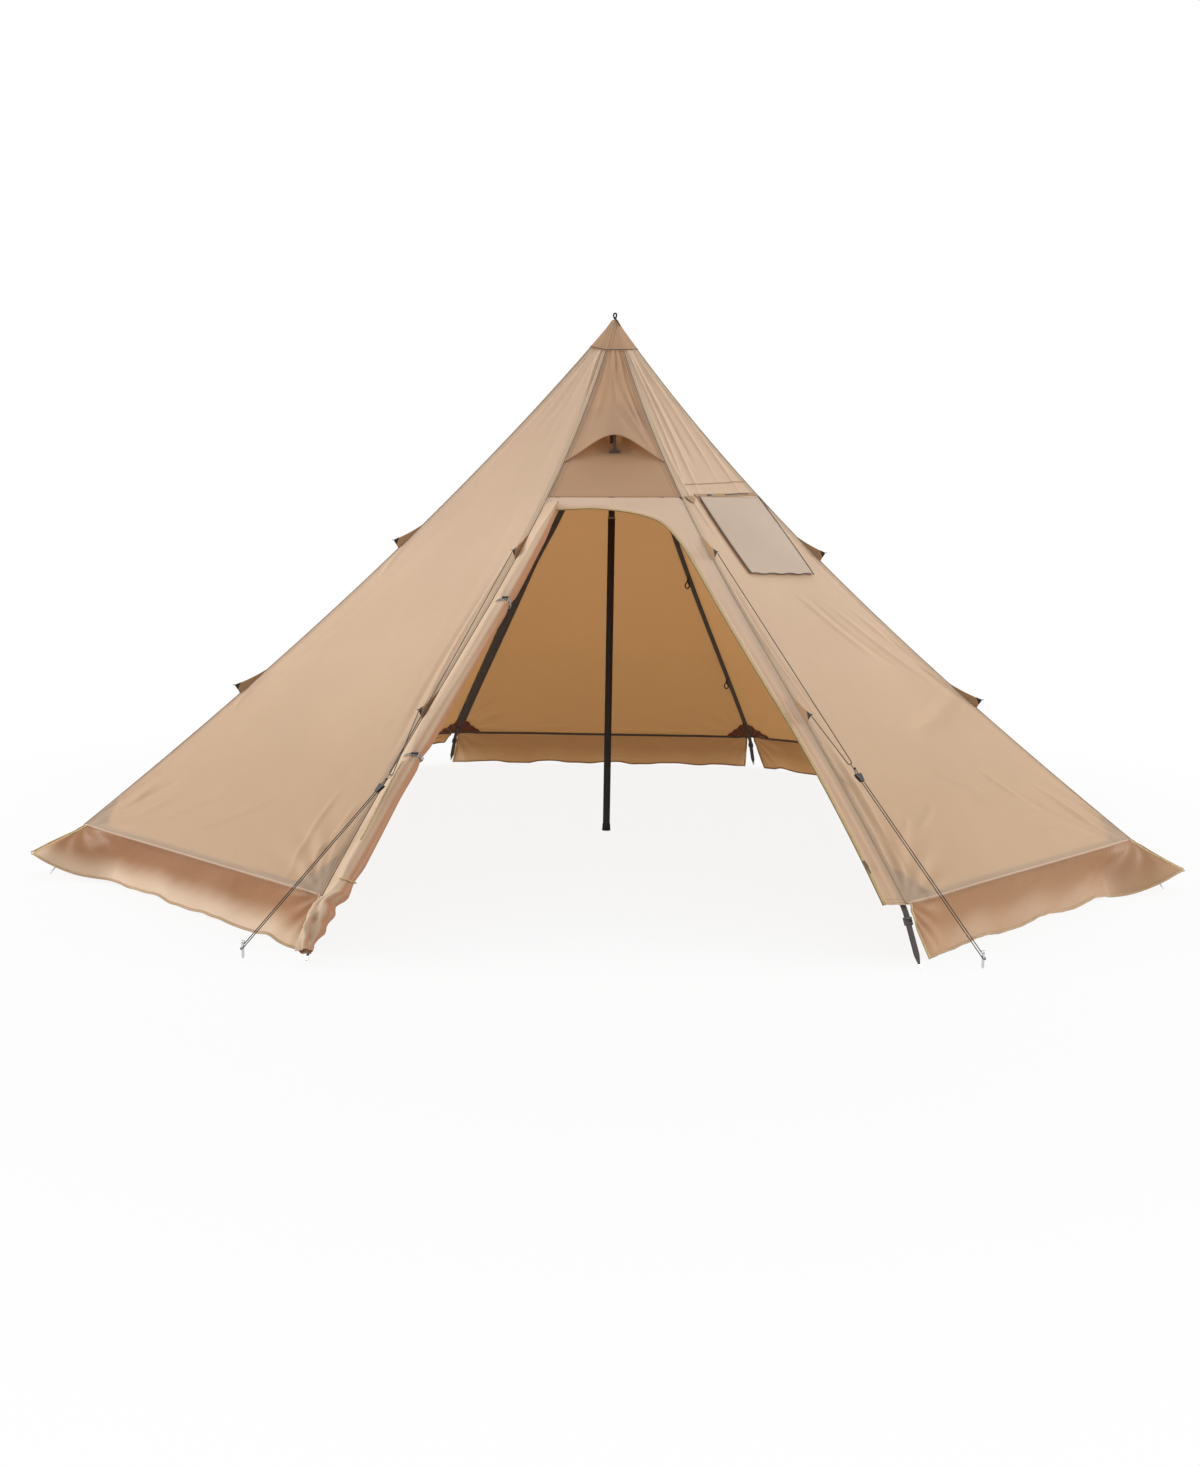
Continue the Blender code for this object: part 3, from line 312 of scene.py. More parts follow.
def tube(name, rings, around, run, material, closed=False):
    """A tube from its rings of points. Its map says how far round and how far along each point lies."""
    shape = rings.shape[:2]
    uv = np.stack([np.broadcast_to(around, shape), np.broadcast_to(run[:, None], shape)], -1)
    if closed:
        rings, uv = np.concatenate([rings, rings[:1]]), np.concatenate([uv, uv[:1]])
    rows, sides = rings.shape[:2]
    faces = grid_faces(rows, sides, closed=True)
    if not closed:
        faces.append(tuple(range(sides))[::-1])
        faces.append(tuple(range((rows - 1) * sides, rows * sides)))
    return fix_normals(add_mesh(name, rings, faces, material, [("near", uv)]))


# A ribbon's section as shares of half its width and half its thickness
RIBBON_SECTION = (
    (1, 0), (0.91, 0.8), (0.6, 1), (0, 1), (-0.6, 1), (-0.91, 0.8),
    (-1, 0), (-0.91, -0.8), (-0.6, -1), (0, -1), (0.6, -1), (0.91, -0.8),
)


def ribbon(name, path, side, normal, width, thickness, material):
    """A flat band along a path: side is its width's direction and normal its face."""
    path, side, normal = (np.asarray(a, float) for a in (path, side, normal))
    half, high = np.broadcast_to(np.asarray(width, float) / 2, len(path)), thickness / 2
    rings = [path + side * (half * a)[:, None] + normal * (high * b) for a, b in RIBBON_SECTION]
    around = np.array([a for a, _ in RIBBON_SECTION])
    thing = tube(name, np.stack(rings, 1), around, lengths(path, 0), material)
    for end in (-1, -2):
        thing.data.polygons[end].use_smooth = False
    return thing


def pipe(name, path, radius, material, sides=12, closed=False):
    """A round tube, with radius a number or one for each point."""
    path = np.asarray(path, float)
    ahead = np.roll(path, -1, 0) - np.roll(path, 1, 0)
    if not closed:
        ahead[0], ahead[-1] = path[1] - path[0], path[-1] - path[-2]
    ahead = unit(ahead)
    normal = unit(np.cross(ahead[0], [0.31, 0.17, 0.93]))
    turn = full_turn(sides)
    rings = []
    for point, direction, r in zip(path, ahead, np.broadcast_to(radius, len(path))):
        normal = unit(normal - direction * np.dot(normal, direction))
        other = np.cross(direction, normal)
        rings.append(point + r * (np.cos(turn)[:, None] * normal + np.sin(turn)[:, None] * other))
    return tube(name, np.array(rings), turn / (2 * math.pi), lengths(path, 0), material, closed)


def lathe(name, profile, material, centre=(0, 0, 0), sides=48):
    """A turned solid from its profile of radii and heights."""
    turn = full_turn(sides)
    rings = np.array([[(r * math.cos(a), r * math.sin(a), z) for a in turn] for r, z in profile])
    heights = np.array([z for _, z in profile])
    thing = tube(name, rings + np.array(centre), turn / (2 * math.pi), heights, material)
    edges = thing.modifiers.new("corners", "EDGE_SPLIT")
    edges.split_angle = math.radians(40)
    return thing


def seat_of(origin, x, y, z):
    """The matrix that sets a piece's own axes on x, y and z."""
    return Matrix([*zip(x, y, z, origin), (0, 0, 0, 1)])


def plate(name, outline, thickness, origin, x, y, material, bevel=0.0004):
    """A flat plate with rounded corners, from its outline in the plane of x and y."""
    x, y = unit(x), unit(y)
    curve = bpy.data.curves.new(name, "CURVE")
    curve.dimensions = "2D"
    curve.fill_mode = "BOTH"
    curve.extrude = thickness / 2 - bevel
    curve.bevel_depth = bevel
    curve.bevel_resolution = 2
    curve.offset = -bevel
    line = curve.splines.new("POLY")
    line.points.add(len(outline) - 1)
    for place, (a, b) in zip(line.points, outline):
        place.co = (a, b, 0.0, 1.0)
    line.use_cyclic_u = True
    made = add_object(name, curve)
    made.matrix_world = seat_of(origin, x, y, np.cross(x, y))
    bpy.context.view_layer.update()
    mesh = bpy.data.meshes.new_from_object(made.evaluated_get(bpy.context.evaluated_depsgraph_get()))
    mesh.transform(made.matrix_world)
    bpy.data.objects.remove(made)
    mesh.materials.clear()
    mesh.materials.append(material)
    return add_object(name, mesh)


def block(low, high, seat, material, round_by=0.0007):
    """A small moulded block with rounded edges, from its two corners in the seat's frame."""
    shape = bmesh.new()
    bmesh.ops.create_cube(shape, size=1.0)
    for point in shape.verts:
        point.co = Vector([(a + b) / 2 + c * (b - a) for a, b, c in zip(Vector(low), Vector(high), point.co)])
    bmesh.ops.bevel(shape, geom=shape.edges[:], offset=round_by, segments=3, affect="EDGES", profile=0.5)
    mesh = bpy.data.meshes.new("block")
    shape.to_mesh(mesh)
    shape.free()
    mesh.transform(seat)
    mesh.materials.append(material)
    return add_object("block", mesh)


def join(name, things):
    """Several pieces as one object, each with its own material."""
    shape = bmesh.new()
    materials = []
    for thing in things:
        offset = len(materials)
        bpy.context.view_layer.update()
        graph = bpy.context.evaluated_depsgraph_get()
        mesh = bpy.data.meshes.new_from_object(thing.evaluated_get(graph))
        mesh.transform(thing.matrix_world)
        for polygon in mesh.polygons:
            polygon.material_index += offset
        materials.extend(thing.data.materials)
        shape.from_mesh(mesh)
        bpy.data.objects.remove(thing)
    mesh = bpy.data.meshes.new(name)
    shape.to_mesh(mesh)
    shape.free()
    for material in materials:
        mesh.materials.append(material)
    return add_object(name, mesh)


# Materials

def srgb(*levels):
    """A display colour of 0 to 255 as the linear colour of a material."""
    shares = [level / 255 for level in levels]
    return tuple(c / 12.92 if c <= 0.04045 else ((c + 0.055) / 1.055) ** 2.4 for c in shares)


def four(colour):
    return (*colour, 1.0)


def toned(colour, by, lift=0.0):
    return four([min(c * by + lift, 1) for c in colour])


class Tree:
    """Short calls for building the nodes of a material or the world."""

    def __init__(self, name, owners, output):
        self.owner = owners.new(name)
        self.owner.use_nodes = True
        self.tree = self.owner.node_tree
        self.tree.nodes.clear()
        self.out = self.tree.nodes.new("ShaderNode" + output)

    def feed(self, socket, value):
        if isinstance(value, bpy.types.NodeSocket):
            self.tree.links.new(value, socket)
        else:
            socket.default_value = value

    def add(self, kind, settings=None, **inputs):
        """A node. Its inputs go by their names, or by number as i0, i1 and so on."""
        made = self.tree.nodes.new("ShaderNode" + kind)
        for key, value in (settings or {}).items():
            setattr(made, key, value)
        for key, value in inputs.items():
            numbered = key[0] == "i" and key[1:].isdigit()
            self.feed(made.inputs[int(key[1:]) if numbered else key.replace("_", " ")], value)
        return made

    def math(self, operation, a, b=0.0, c=0.0):
        return self.add("Math", {"operation": operation}, i0=a, i1=b, i2=c).outputs[0]

    def times(self, a, b):
        return self.math("MULTIPLY", a, b)

    def ramp(self, value, low, high):
        settings = {"interpolation_type": "SMOOTHSTEP"}
        return self.add("MapRange", settings, Value=value, From_Min=low, From_Max=high).outputs[0]

    def mix(self, factor, a, b, blend="MIX"):
        return self.add("Mix", {"data_type": "RGBA", "blend_type": blend}, i0=factor, i6=a, i7=b).outputs[2]

    def mix_shaders(self, factor, a, b):
        return self.add("MixShader", i0=factor, i1=a.outputs[0], i2=b.outputs[0])

    def noise(self, where, scale, detail=3.0, roughness=0.5):
        made = self.add("TexNoise", Vector=where, Scale=scale, Detail=detail, Roughness=roughness)
        return made.outputs["Fac"]

    def diagonal(self, where, scale, distortion):
        settings = {"bands_direction": "DIAGONAL"}
        return self.add("TexWave", settings, Vector=where, Scale=scale, Distortion=distortion).outputs["Fac"]

    def waves(self, value, pitch):
        """A sine along a distance in metres, with its pitch in metres."""
        return self.math("SINE", self.times(value, 2 * math.pi / pitch))

    def bump(self, height, distance, strength=1.0, normal=None):
        made = self.add("Bump", Height=height, Distance=distance, Strength=strength)
        if normal is not None:
            self.feed(made.inputs["Normal"], normal)
        return made.outputs["Normal"]

    def split(self, vector):
        return self.add("SeparateXYZ", Vector=vector).outputs

    def where(self):
        return self.add("TexCoord").outputs["Object"]

    def uv(self, name):
        """The two distances that one of the piece's own maps holds."""
        return self.split(self.add("UVMap", {"uv_map": name}).outputs[0])

    def camera_rays(self):
        """1 for what the camera sees straight, mirrored or through something clear."""
        seen = self.add("LightPath").outputs
        straight = self.math("MAXIMUM", seen["Is Camera Ray"], seen["Is Glossy Ray"])
        return self.math("MAXIMUM", straight, seen["Is Transmission Ray"])

    def done(self, shader):
        self.tree.links.new(shader.outputs[0], self.out.inputs["Surface"])
        return self.owner


def material_tree(name):
    return Tree(name, bpy.data.materials, "OutputMaterial")


def canvas(name, colour, glow, roughness=0.62, through=0.3, seams=(0.007, 0.019), wrinkle=0.0012, foot=None,
           height_shade=None, turned=None):
    """Coated tent cloth: fine weave, soft creases, stitched seams near its edges, light that comes through.

    The colour near the lower edge (foot) is painted light; the tint from low to high is painted light and
    shade, darker low and lighter high; the colour for faces turned right (turned) is painted shade.
    """
    t = material_tree(name)
    where, near, far = t.where(), t.uv("near"), t.uv("far")
    edge = t.math("MINIMUM", near[0], far[0])
    patches = t.noise(where, 1.7, 4.0, 0.55)
    fine = t.noise(where, 60.0, 3.0, 0.6)
    shade = t.mix(t.ramp(patches, 0.3, 0.75), toned(colour, 0.95), toned(colour, 1.04))
    shade = t.mix(t.times(fine, 0.16), shade, toned(colour, 0.82))
    # Painted light: the colour blends to a lighter foot colour near the lower edge, where the flared cloth
    # catches more light
    if foot is not None:
        left = t.math("ADD", far[1], t.times(patches, -0.03))
        shade = t.mix(t.ramp(left, 0.0, 0.095), four(foot), shade)
    # Painted light and shade by height: darker low, lighter high
    if height_shade is not None:
        high = t.ramp(t.split(where)[2], 0.15, 1.3)
        shade = t.mix(1.0, shade, t.mix(high, *map(four, height_shade)), "MULTIPLY")
    # Painted shade: faces turned right take the turned colour, darker and redder
    if turned is not None:
        facing = t.split(t.add("NewGeometry").outputs["Normal"])[0]
        shade = t.mix(t.ramp(facing, 0.0, 0.85), shade, four(turned))
    height = t.times(t.ramp(edge, 0.0205, 0.0225), -0.5)
    if seams:
        line = 0.0
        for place in seams:
            away = t.math("ABSOLUTE", t.math("SUBTRACT", edge, place))
            line = t.math("MAXIMUM", line, t.math("SUBTRACT", 1.0, t.ramp(away, 0.0006, 0.0016)))
        stitch = t.times(line, t.ramp(t.waves(near[1], 0.006), -0.5, -0.2))
        shade = t.mix(t.times(line, 0.4), shade, toned(colour, 0.55))
        shade = t.mix(t.times(stitch, 0.6), shade, toned(colour, 0.45))
        height = t.math("SUBTRACT", height, t.times(line, 0.6))
    pucker = t.times(t.noise(where, 26.0, 2.0, 0.5), t.math("SUBTRACT", 1.0, t.ramp(edge, 0.0, 0.09)))
    normal = t.bump(t.noise(where, 7.0, 5.0, 0.55), wrinkle * 3.0, 0.55)
    normal = t.bump(pucker, 0.0007, 0.5, normal)
    normal = t.bump(height, 0.0012, 0.9, normal)
    normal = t.bump(t.diagonal(where, 420.0, 0.6), 0.00012, 0.35, normal)
    surface = t.add(
        "BsdfPrincipled", Base_Color=shade, Roughness=roughness, Normal=normal,
        Sheen_Weight=0.03, Sheen_Roughness=0.4, Specular_IOR_Level=0.25,
    )
    light = t.add("BsdfTranslucent", Color=four(glow), Normal=normal)
    return t.done(t.mix_shaders(through, surface, light))


def woven(name, colour, pitch=0.0016):
    """Webbing or tape: ribs across its length, from its own map in metres."""
    t = material_tree(name)
    near = t.uv("near")
    cross = t.math("SINE", t.times(near[0], 24.0))
    weave = t.math("ADD", t.waves(near[1], pitch), t.times(cross, 0.6))
    shade = t.mix(t.ramp(weave, -1.0, 1.4), toned(colour, 0.6), toned(colour, 1.5))
    shade = t.mix(t.times(t.noise(t.where(), 18.0), 0.35), shade, toned(colour, 1.7, 0.01))
    normal = t.bump(weave, 0.0003, 0.7)
    return t.done(t.add("BsdfPrincipled", Base_Color=shade, Roughness=0.75, Normal=normal, Sheen_Weight=0.25))


def braided(name, colour, fleck):
    """Braided cord with a fleck, round its own length."""
    t = material_tree(name)
    wave = t.diagonal(t.where(), 120.0, 1.5)
    shade = t.mix(t.ramp(wave, 0.55, 0.75), four(colour), four(fleck))
    normal = t.bump(wave, 0.0004, 0.7)
    return t.done(t.add("BsdfPrincipled", Base_Color=shade, Roughness=0.7, Normal=normal, Sheen_Weight=0.2))


def plain(name, colour, roughness, metallic=0.0):
    """Plastic, rubber or metal with a fine grain and a little change in colour and gloss."""
    t = material_tree(name)
    where = t.where()
    shade = t.mix(t.times(t.noise(where, 14.0, 4.0), 0.3), four(colour), toned(colour, 1.6, 0.01))
    normal = t.bump(t.noise(where, 400.0, 2.0), 0.0001, 0.5)
    least, most = roughness * 0.85, min(roughness * 1.2, 1)
    rough = t.add("MapRange", Value=t.noise(where, 40.0), To_Min=least, To_Max=most).outputs[0]
    surface = t.add("BsdfPrincipled", Base_Color=shade, Roughness=rough, Metallic=metallic, Normal=normal)
    return t.done(surface)


def mesh_screen(name, colour):
    """Fine insect mesh with real openings."""
    t = material_tree(name)
    near = t.uv("near")
    threads = [t.ramp(t.waves(near[way], 0.0016), 0.2, 0.6) for way in (0, 1)]
    surface = t.add("BsdfPrincipled", Base_Color=four(colour), Roughness=0.8)
    return t.done(t.mix_shaders(t.math("MAXIMUM", *threads), t.add("BsdfTransparent"), surface))


# Tent cloth. Its tint by height is painted light and shade: darker near the ground, lighter and cooler high
# up.
TENT = canvas(
    "canvas_tent", srgb(212, 184, 155), srgb(202, 150, 90), through=0.34,
    height_shade=((0.8, 0.81, 0.84), (1.1, 1.17, 1.27)),
)
# A lit copy of the tent cloth for the door band and hem folds: its lighter colour is painted light, and its
# tint by height is painted shade, darker low.
BAND = canvas(
    "canvas_band_lit", srgb(238, 213, 190), srgb(202, 150, 90), through=0.34,
    height_shade=((0.86, 0.81, 0.76), (1.0, 1.0, 1.0)),
)
# Painted shade: the front pieces take a darker copy of the cloth, for the shade on the steep front.
FRONT_CLOTH = canvas("canvas_front_shaded", srgb(194, 160, 129), srgb(190, 138, 80))
# Skirt cloth in two copies, both painted light and shade: a dark colour for the steep upper part in shade,
# and a lighter foot colour where the flare catches light from above.
SKIRT = canvas(
    "canvas_skirt", srgb(140, 100, 75), srgb(208, 156, 98), roughness=0.42, seams=(0.006,), wrinkle=0.002,
    foot=srgb(206, 184, 160),
)
SKIRT_RIGHT_SHADING = canvas(
    "canvas_skirt_right_shading", srgb(146, 112, 86), srgb(208, 156, 98), roughness=0.42, seams=(0.006,),
    wrinkle=0.002, foot=srgb(170, 140, 114),
)
# Painted shade: the rolled door's faces turned right, towards the opening, take a darker and redder colour.
ROLL = canvas(
    "canvas_roll", srgb(206, 178, 150), srgb(186, 132, 74), through=0.05, seams=(), wrinkle=0.0015,
    turned=srgb(172, 124, 92),
)
FLAP = canvas(
    "canvas_flap", srgb(184, 164, 146), srgb(150, 120, 90), roughness=0.5, through=0.02, seams=(0.006,),
    wrinkle=0.0006,
)
PATCH = canvas("canvas_patch", srgb(110, 66, 38), srgb(90, 50, 25), through=0.05, seams=(0.004,))
HEAT = canvas("canvas_heatproof", srgb(120, 116, 108), srgb(60, 55, 50), through=0.0, seams=(0.005,))
TRIM = canvas("canvas_trim", srgb(168, 138, 108), srgb(186, 132, 74), through=0.1, seams=())
TAB = canvas("canvas_tab", srgb(176, 140, 104), srgb(130, 95, 60), through=0.05, seams=())
PIPING = woven("tape_olive", srgb(184, 158, 108), 0.0022)
HEM_TAPE = woven("tape_hem", srgb(172, 142, 106), 0.002)
ZIP_COIL = woven("zip_coil", srgb(120, 92, 56), 0.0018)
WEBBING = woven("webbing_black", srgb(26, 16, 11))
STRAP = woven("webbing_strap", srgb(54, 43, 38), 0.0018)
SEAM_TAPE = woven("tape_dark", srgb(38, 22, 14), 0.0015)
CORD = braided("cord_black", srgb(16, 13, 12), srgb(52, 46, 40))
BLACK_CORD = plain("cord_plain", srgb(22, 18, 16), 0.9)
ELASTIC = braided("cord_elastic", srgb(60, 58, 56), srgb(225, 225, 220))
PLASTIC = plain("plastic_black", srgb(34, 31, 30), 0.42)
PROP = plain("prop_maroon", srgb(58, 34, 30), 0.5)
POLE = plain("pole_bronze", srgb(13, 8, 4), 0.62, 0.2)
RING = plain("ring_light", srgb(120, 106, 90), 0.4, 0.6)
STEEL = plain("steel", srgb(196, 196, 196), 0.28, 1.0)
DARK_METAL = plain("dark_metal", srgb(104, 92, 76), 0.4, 1.0)
RUBBER = plain("rubber_black", srgb(30, 28, 27), 0.85)
MESH = mesh_screen("mesh_brown", srgb(96, 58, 30))
VELCRO = woven("hook_loop", srgb(40, 36, 34), 0.001)


# Cloth panels

# Pulled creases by gore: both ends as shares across and down, then width and depth in metres
CREASES = {
    0: (
        (0.42, 0.05, 0.62, 0.17, 0.006, 0.003), (0.62, 0.05, 0.84, 0.2, 0.006, 0.0035),
        (0.8, 0.06, 0.92, 0.22, 0.007, -0.003), (0.3, 0.06, 0.2, 0.19, 0.012, 0.002),
        (0.62, 0.15, 0.9, 0.25, 0.011, 0.003), (0.5, 0.16, 0.72, 0.225, 0.012, -0.002),
    ),
    1: (
        (0.16, 0.05, 0.13, 0.3, 0.007, 0.004), (0.36, 0.05, 0.25, 0.33, 0.009, 0.004),
        (0.5, 0.06, 0.42, 0.27, 0.01, -0.003), (0.7, 0.06, 0.62, 0.3, 0.009, 0.003),
        (0.86, 0.07, 0.8, 0.33, 0.01, 0.003), (0.1, 0.2, 0.16, 0.42, 0.008, 0.003),
        (0.52, 0.525, 0.69, 0.645, 0.012, 0.004), (0.6, 0.53, 0.77, 0.66, 0.01, -0.003),
        (0.72, 0.55, 0.885, 0.69, 0.014, 0.0045), (0.86, 0.56, 0.985, 0.7, 0.012, 0.004),
        (0.93, 0.6, 0.97, 0.72, 0.02, -0.006), (0.99, 0.715, 0.52, 0.775, 0.04, -0.006),
        (0.44, 0.842, 0.58, 0.88, 0.012, 0.003), (0.66, 0.85, 0.72, 0.9, 0.012, 0.0035),
        (0.54, 0.892, 0.77, 0.935, 0.011, 0.0035), (0.66, 0.945, 0.9, 0.99, 0.01, 0.004),
        (0.19, 0.915, 0.31, 0.888, 0.01, 0.003), (0.11, 0.92, 0.18, 0.9, 0.009, 0.003),
        (0.012, 0.47, 0.07, 0.735, 0.008, 0.0035), (0.04, 0.49, 0.095, 0.755, 0.009, -0.003),
        (0.02, 0.78, 0.012, 0.975, 0.01, -0.0035), (0.045, 0.785, 0.035, 0.98, 0.009, 0.0035),
        (0.85, 0.89, 0.935, 0.99, 0.012, 0.0045), (0.73, 0.893, 0.9, 0.985, 0.014, -0.004),
    ),
    4: (
        (0.97, 0.982, 0.6, 0.97, 0.013, 0.003), (0.88, 0.972, 0.48, 0.987, 0.012, -0.003),
        (0.47, 0.984, 0.07, 0.974, 0.013, 0.003), (0.32, 0.968, 0.05, 0.982, 0.012, -0.0025),
        (0.985, 0.965, 0.86, 0.925, 0.014, 0.0035), (0.98, 0.94, 0.9, 0.88, 0.014, -0.003),
        (0.02, 0.955, 0.12, 0.915, 0.014, 0.003),
    ),
    7: (
        (0.7, 0.05, 0.83, 0.12, 0.006, 0.003), (0.9, 0.05, 0.93, 0.15, 0.006, -0.002),
        (0.03, 0.995, 0.1, 0.925, 0.012, 0.0045), (0.08, 0.993, 0.24, 0.928, 0.012, 0.004),
        (0.17, 0.988, 0.41, 0.91, 0.011, 0.0035), (0.37, 0.985, 0.63, 0.897, 0.012, 0.003),
        (0.05, 0.96, 0.17, 0.9, 0.02, -0.004), (0.955, 0.45, 0.985, 0.74, 0.01, 0.0045),
        (0.93, 0.5, 0.965, 0.8, 0.014, -0.004), (0.91, 0.968, 0.955, 0.88, 0.011, 0.0045),
        (0.865, 0.987, 0.855, 0.87, 0.012, 0.0035), (0.985, 0.98, 0.957, 0.91, 0.01, 0.004),
        (0.945, 0.985, 0.93, 0.93, 0.01, -0.004), (0.93, 0.994, 0.72, 0.99, 0.01, 0.003),
        (0.01, 0.7, 0.06, 0.775, 0.014, 0.003), (0.01, 0.42, 0.08, 0.51, 0.014, 0.003),
    ),
}


def creases(k, u, t):
    """Soft pulled creases along the lines in the table, fading at both ends."""
    length = ridge_length(k)

    def flat(across, down):
        width = np.linalg.norm(ridge(k + 1, down) - ridge(k, down), axis=-1)
        return np.stack([(across - 0.5) * width, down * length], -1)

    spots = flat(u, t)
    height = np.zeros(np.shape(u))
    for u0, t0, u1, t1, wide, deep in CREASES.get(k, ()):
        start, end = flat(np.array(u0), np.array(t0)), flat(np.array(u1), np.array(t1))
        way = end - start
        size = float(np.linalg.norm(way))
        way = way / size
        along = (spots - start) @ way
        bend = 0.03 * size * np.sin(math.pi * np.clip(along / size, 0, 1)) * (1 if u0 < u1 else -1)
        away = (spots - start) @ np.array([-way[1], way[0]]) - bend
        fade = smooth(-0.15 * size, 0.25 * size, along) * (1 - smooth(0.75 * size, 1.15 * size, along))
        height = height + 1.6 * deep * fade * np.exp(-(np.abs(away) / wide) ** 1.6)
    return height


def folds(k, u, t):
    """How far the cloth stands off its smooth surface: pleats at the peak, pulls at corners and seams."""
    width = np.linalg.norm(ridge(k + 1, t) - ridge(k, t), axis=-1)
    length = ridge_length(k)
    left, right, low = u * width, (1 - u) * width, (1 - t) * length
    edge = np.minimum(left, right)
    calm = smooth(0.0, 0.02, edge)
    near_peak = np.exp(-((t - 0.14) / 0.12) ** 2)
    pleats = np.sin(2 * math.pi * u * 6 + 1.3 * k + 2 * noise(u * 5, t * 3, k)) * near_peak
    pulls = 0.0
    for side, sign in ((left, 1.0), (right, -1.0)):
        ring = np.exp(-((np.hypot(side, low) - 0.16) / 0.17) ** 2)
        angle = np.arctan2(side, low)
        pulls = pulls + ring * np.sin(angle * 14 + sign * k + 1.5 * noise(side * 9, low * 9, k + 3))
    near_seam = np.exp(-edge / 0.05)
    seams = near_seam * np.sin(2 * math.pi * (t * length) / 0.085 + 3 * noise(u * 4, t * 30, k + 5))
    wide = noise(u * 3.1, t * 4.7, k + 9)
    billow = -0.007 * np.sin(math.pi * u) * np.sin(math.pi * t) * np.minimum(width, 1.2)
    long_pulls = np.exp(-edge / 0.16) * noise(edge * 40, t * 6, k + 11)
    small = 0.0004 * pleats + 0.0034 * pulls + 0.0009 * seams + 0.0032 * wide + 0.0022 * long_pulls
    return calm * (small + creases(k, u, t)) + billow


def surface(k, u, t):
    return gore(k, u, t) + gore_normal(k, t) * folds(k, u, t)[..., None]


def gores():
    for k in range(1, 8):
        fine = 2.2 if k in CREASES else 1
        u, t = grid((0, 1, int(72 * fine)), (GORE_TOP, 1.0, int(120 * fine)))
        skip = None
        if k == 1:
            skip = (u > JACK_LEFT) & (u < JACK_RIGHT) & (t > JACK_TOP) & (t < JACK_FOOT)
        points = surface(k, u, t)
        sheet("gore_" + PANELS[k], points, TENT, "panel_" + PANELS[k], skip)
        hem_band(k)


def hem_band(k):
    """The folded hem outside and the dark tape along it inside."""
    u = np.linspace(0.004, 0.996, 240)
    t = np.full(len(u), 0.9952)
    normal = gore_normal(k, t)
    along = unit(corner(k + 1) - corner(k)) * np.ones((len(u), 1))
    down = unit(np.cross(normal, along))
    outside = surface(k, u, t + 0.003) + normal * 0.0004
    fold = ribbon("hem_fold_" + PANELS[k], outside, down, normal, 0.006, 0.0024, BAND)
    declare(fold)
    inside = surface(k, u, t) - normal * 0.0052
    tape = ribbon("hem_tape_" + PANELS[k], inside, down, normal, 0.02, 0.0014, SEAM_TAPE)
    declare(tape)


# How far the hood's middle stands off the front gore, in metres
HOOD_RISE = 0.075


def hood_edge(u):
    return 0.24 + 0.03 * np.abs(2 * u - 1) ** 1.7


def hood():
    u, reach = grid((0, 1, 90), (0, 1, 64))
    t = GORE_TOP + reach * (hood_edge(u) - GORE_TOP)
    arch = np.sin(math.pi * u) ** 1.6
    rise = HOOD_RISE * arch * smooth(0.11, hood_edge(u) + 0.03, t) + 0.0026 * smooth(0.11, 0.16, t)
    near_cap = np.exp(-((t - 0.12) / 0.07) ** 2)
    draw = 0.0012 * np.sin(2 * math.pi * u * 5 + 1.0) * near_cap * within(u, 0.06)
    ripple = 0.0022 * noise(u * 5, t * 14, 61) * within(u, 0.08)
    pulled = creases(0, u, t) * within(u, 0.06)
    points = gore(0, u, t) + gore_normal(0, t) * (rise + draw + ripple + pulled)[..., None]
    sheet("vent_hood_cloth", points, FRONT_CLOTH, "vent_hood")
    edge = points[:, -1]
    inward = unit(edge - points[:, -6])
    normal = square_to(inward, edge)
    bead = ribbon("vent_hood_hem", edge - inward * 0.004, inward, normal, 0.011, 0.0032, FRONT_CLOTH)
    bead.data.uv_layers.new(name="far")
    declare(bead)


def vent():
    u, t = grid((0, 1, 80), (VENT_TOP, VENT_FOOT, 60))
    drape = 0.0045 * noise(u * 6 + t * 10, t * 22, 71) * within(u, 0.07)
    drape = drape * smooth(VENT_TOP, VENT_TOP + 0.03, t) * (1 - smooth(VENT_FOOT - 0.02, VENT_FOOT, t))
    points = gore(0, u, t) + gore_normal(0, t) * drape[..., None]
    half_opening = 0.14 * (1 - smooth(0.2, 0.25, t) * 0.9)
    skip = (np.abs(u - 0.5) < half_opening) & (t > 0.2) & (t < 0.231)
    sheet("vent_panel_cloth", points, FRONT_CLOTH, "vent_panel", skip)
    u, t = grid((0.3, 0.7, 24), (0.187, 0.258, 16))
    net = gore(0, u, t) - gore_normal(0, t) * 0.0065
    sheet("vent_mesh", net, MESH, "vent_screen")
    u = np.linspace(0, 1, 90)
    t = np.full(len(u), 0.338)
    normal = gore_normal(0, t)
    line = gore(0, u, t) + normal * 0.0008
    seam = ribbon("vent_seam", line, square_to(normal, line), normal, 0.004, 0.0018, FRONT_CLOTH)
    seam.data.uv_layers.new(name="far")
    declare(seam)


def door_lines(steps):
    inner = catmull([(*pair[0], 0.0) for pair in DOOR_EDGE], steps)
    outer = catmull([(*pair[1], 0.0) for pair in DOOR_EDGE], steps)
    outer[:, 0] = np.minimum(outer[:, 0], 1.0)
    outer[:, 1] = np.maximum(outer[:, 1], DOOR_TOP)
    return inner, outer


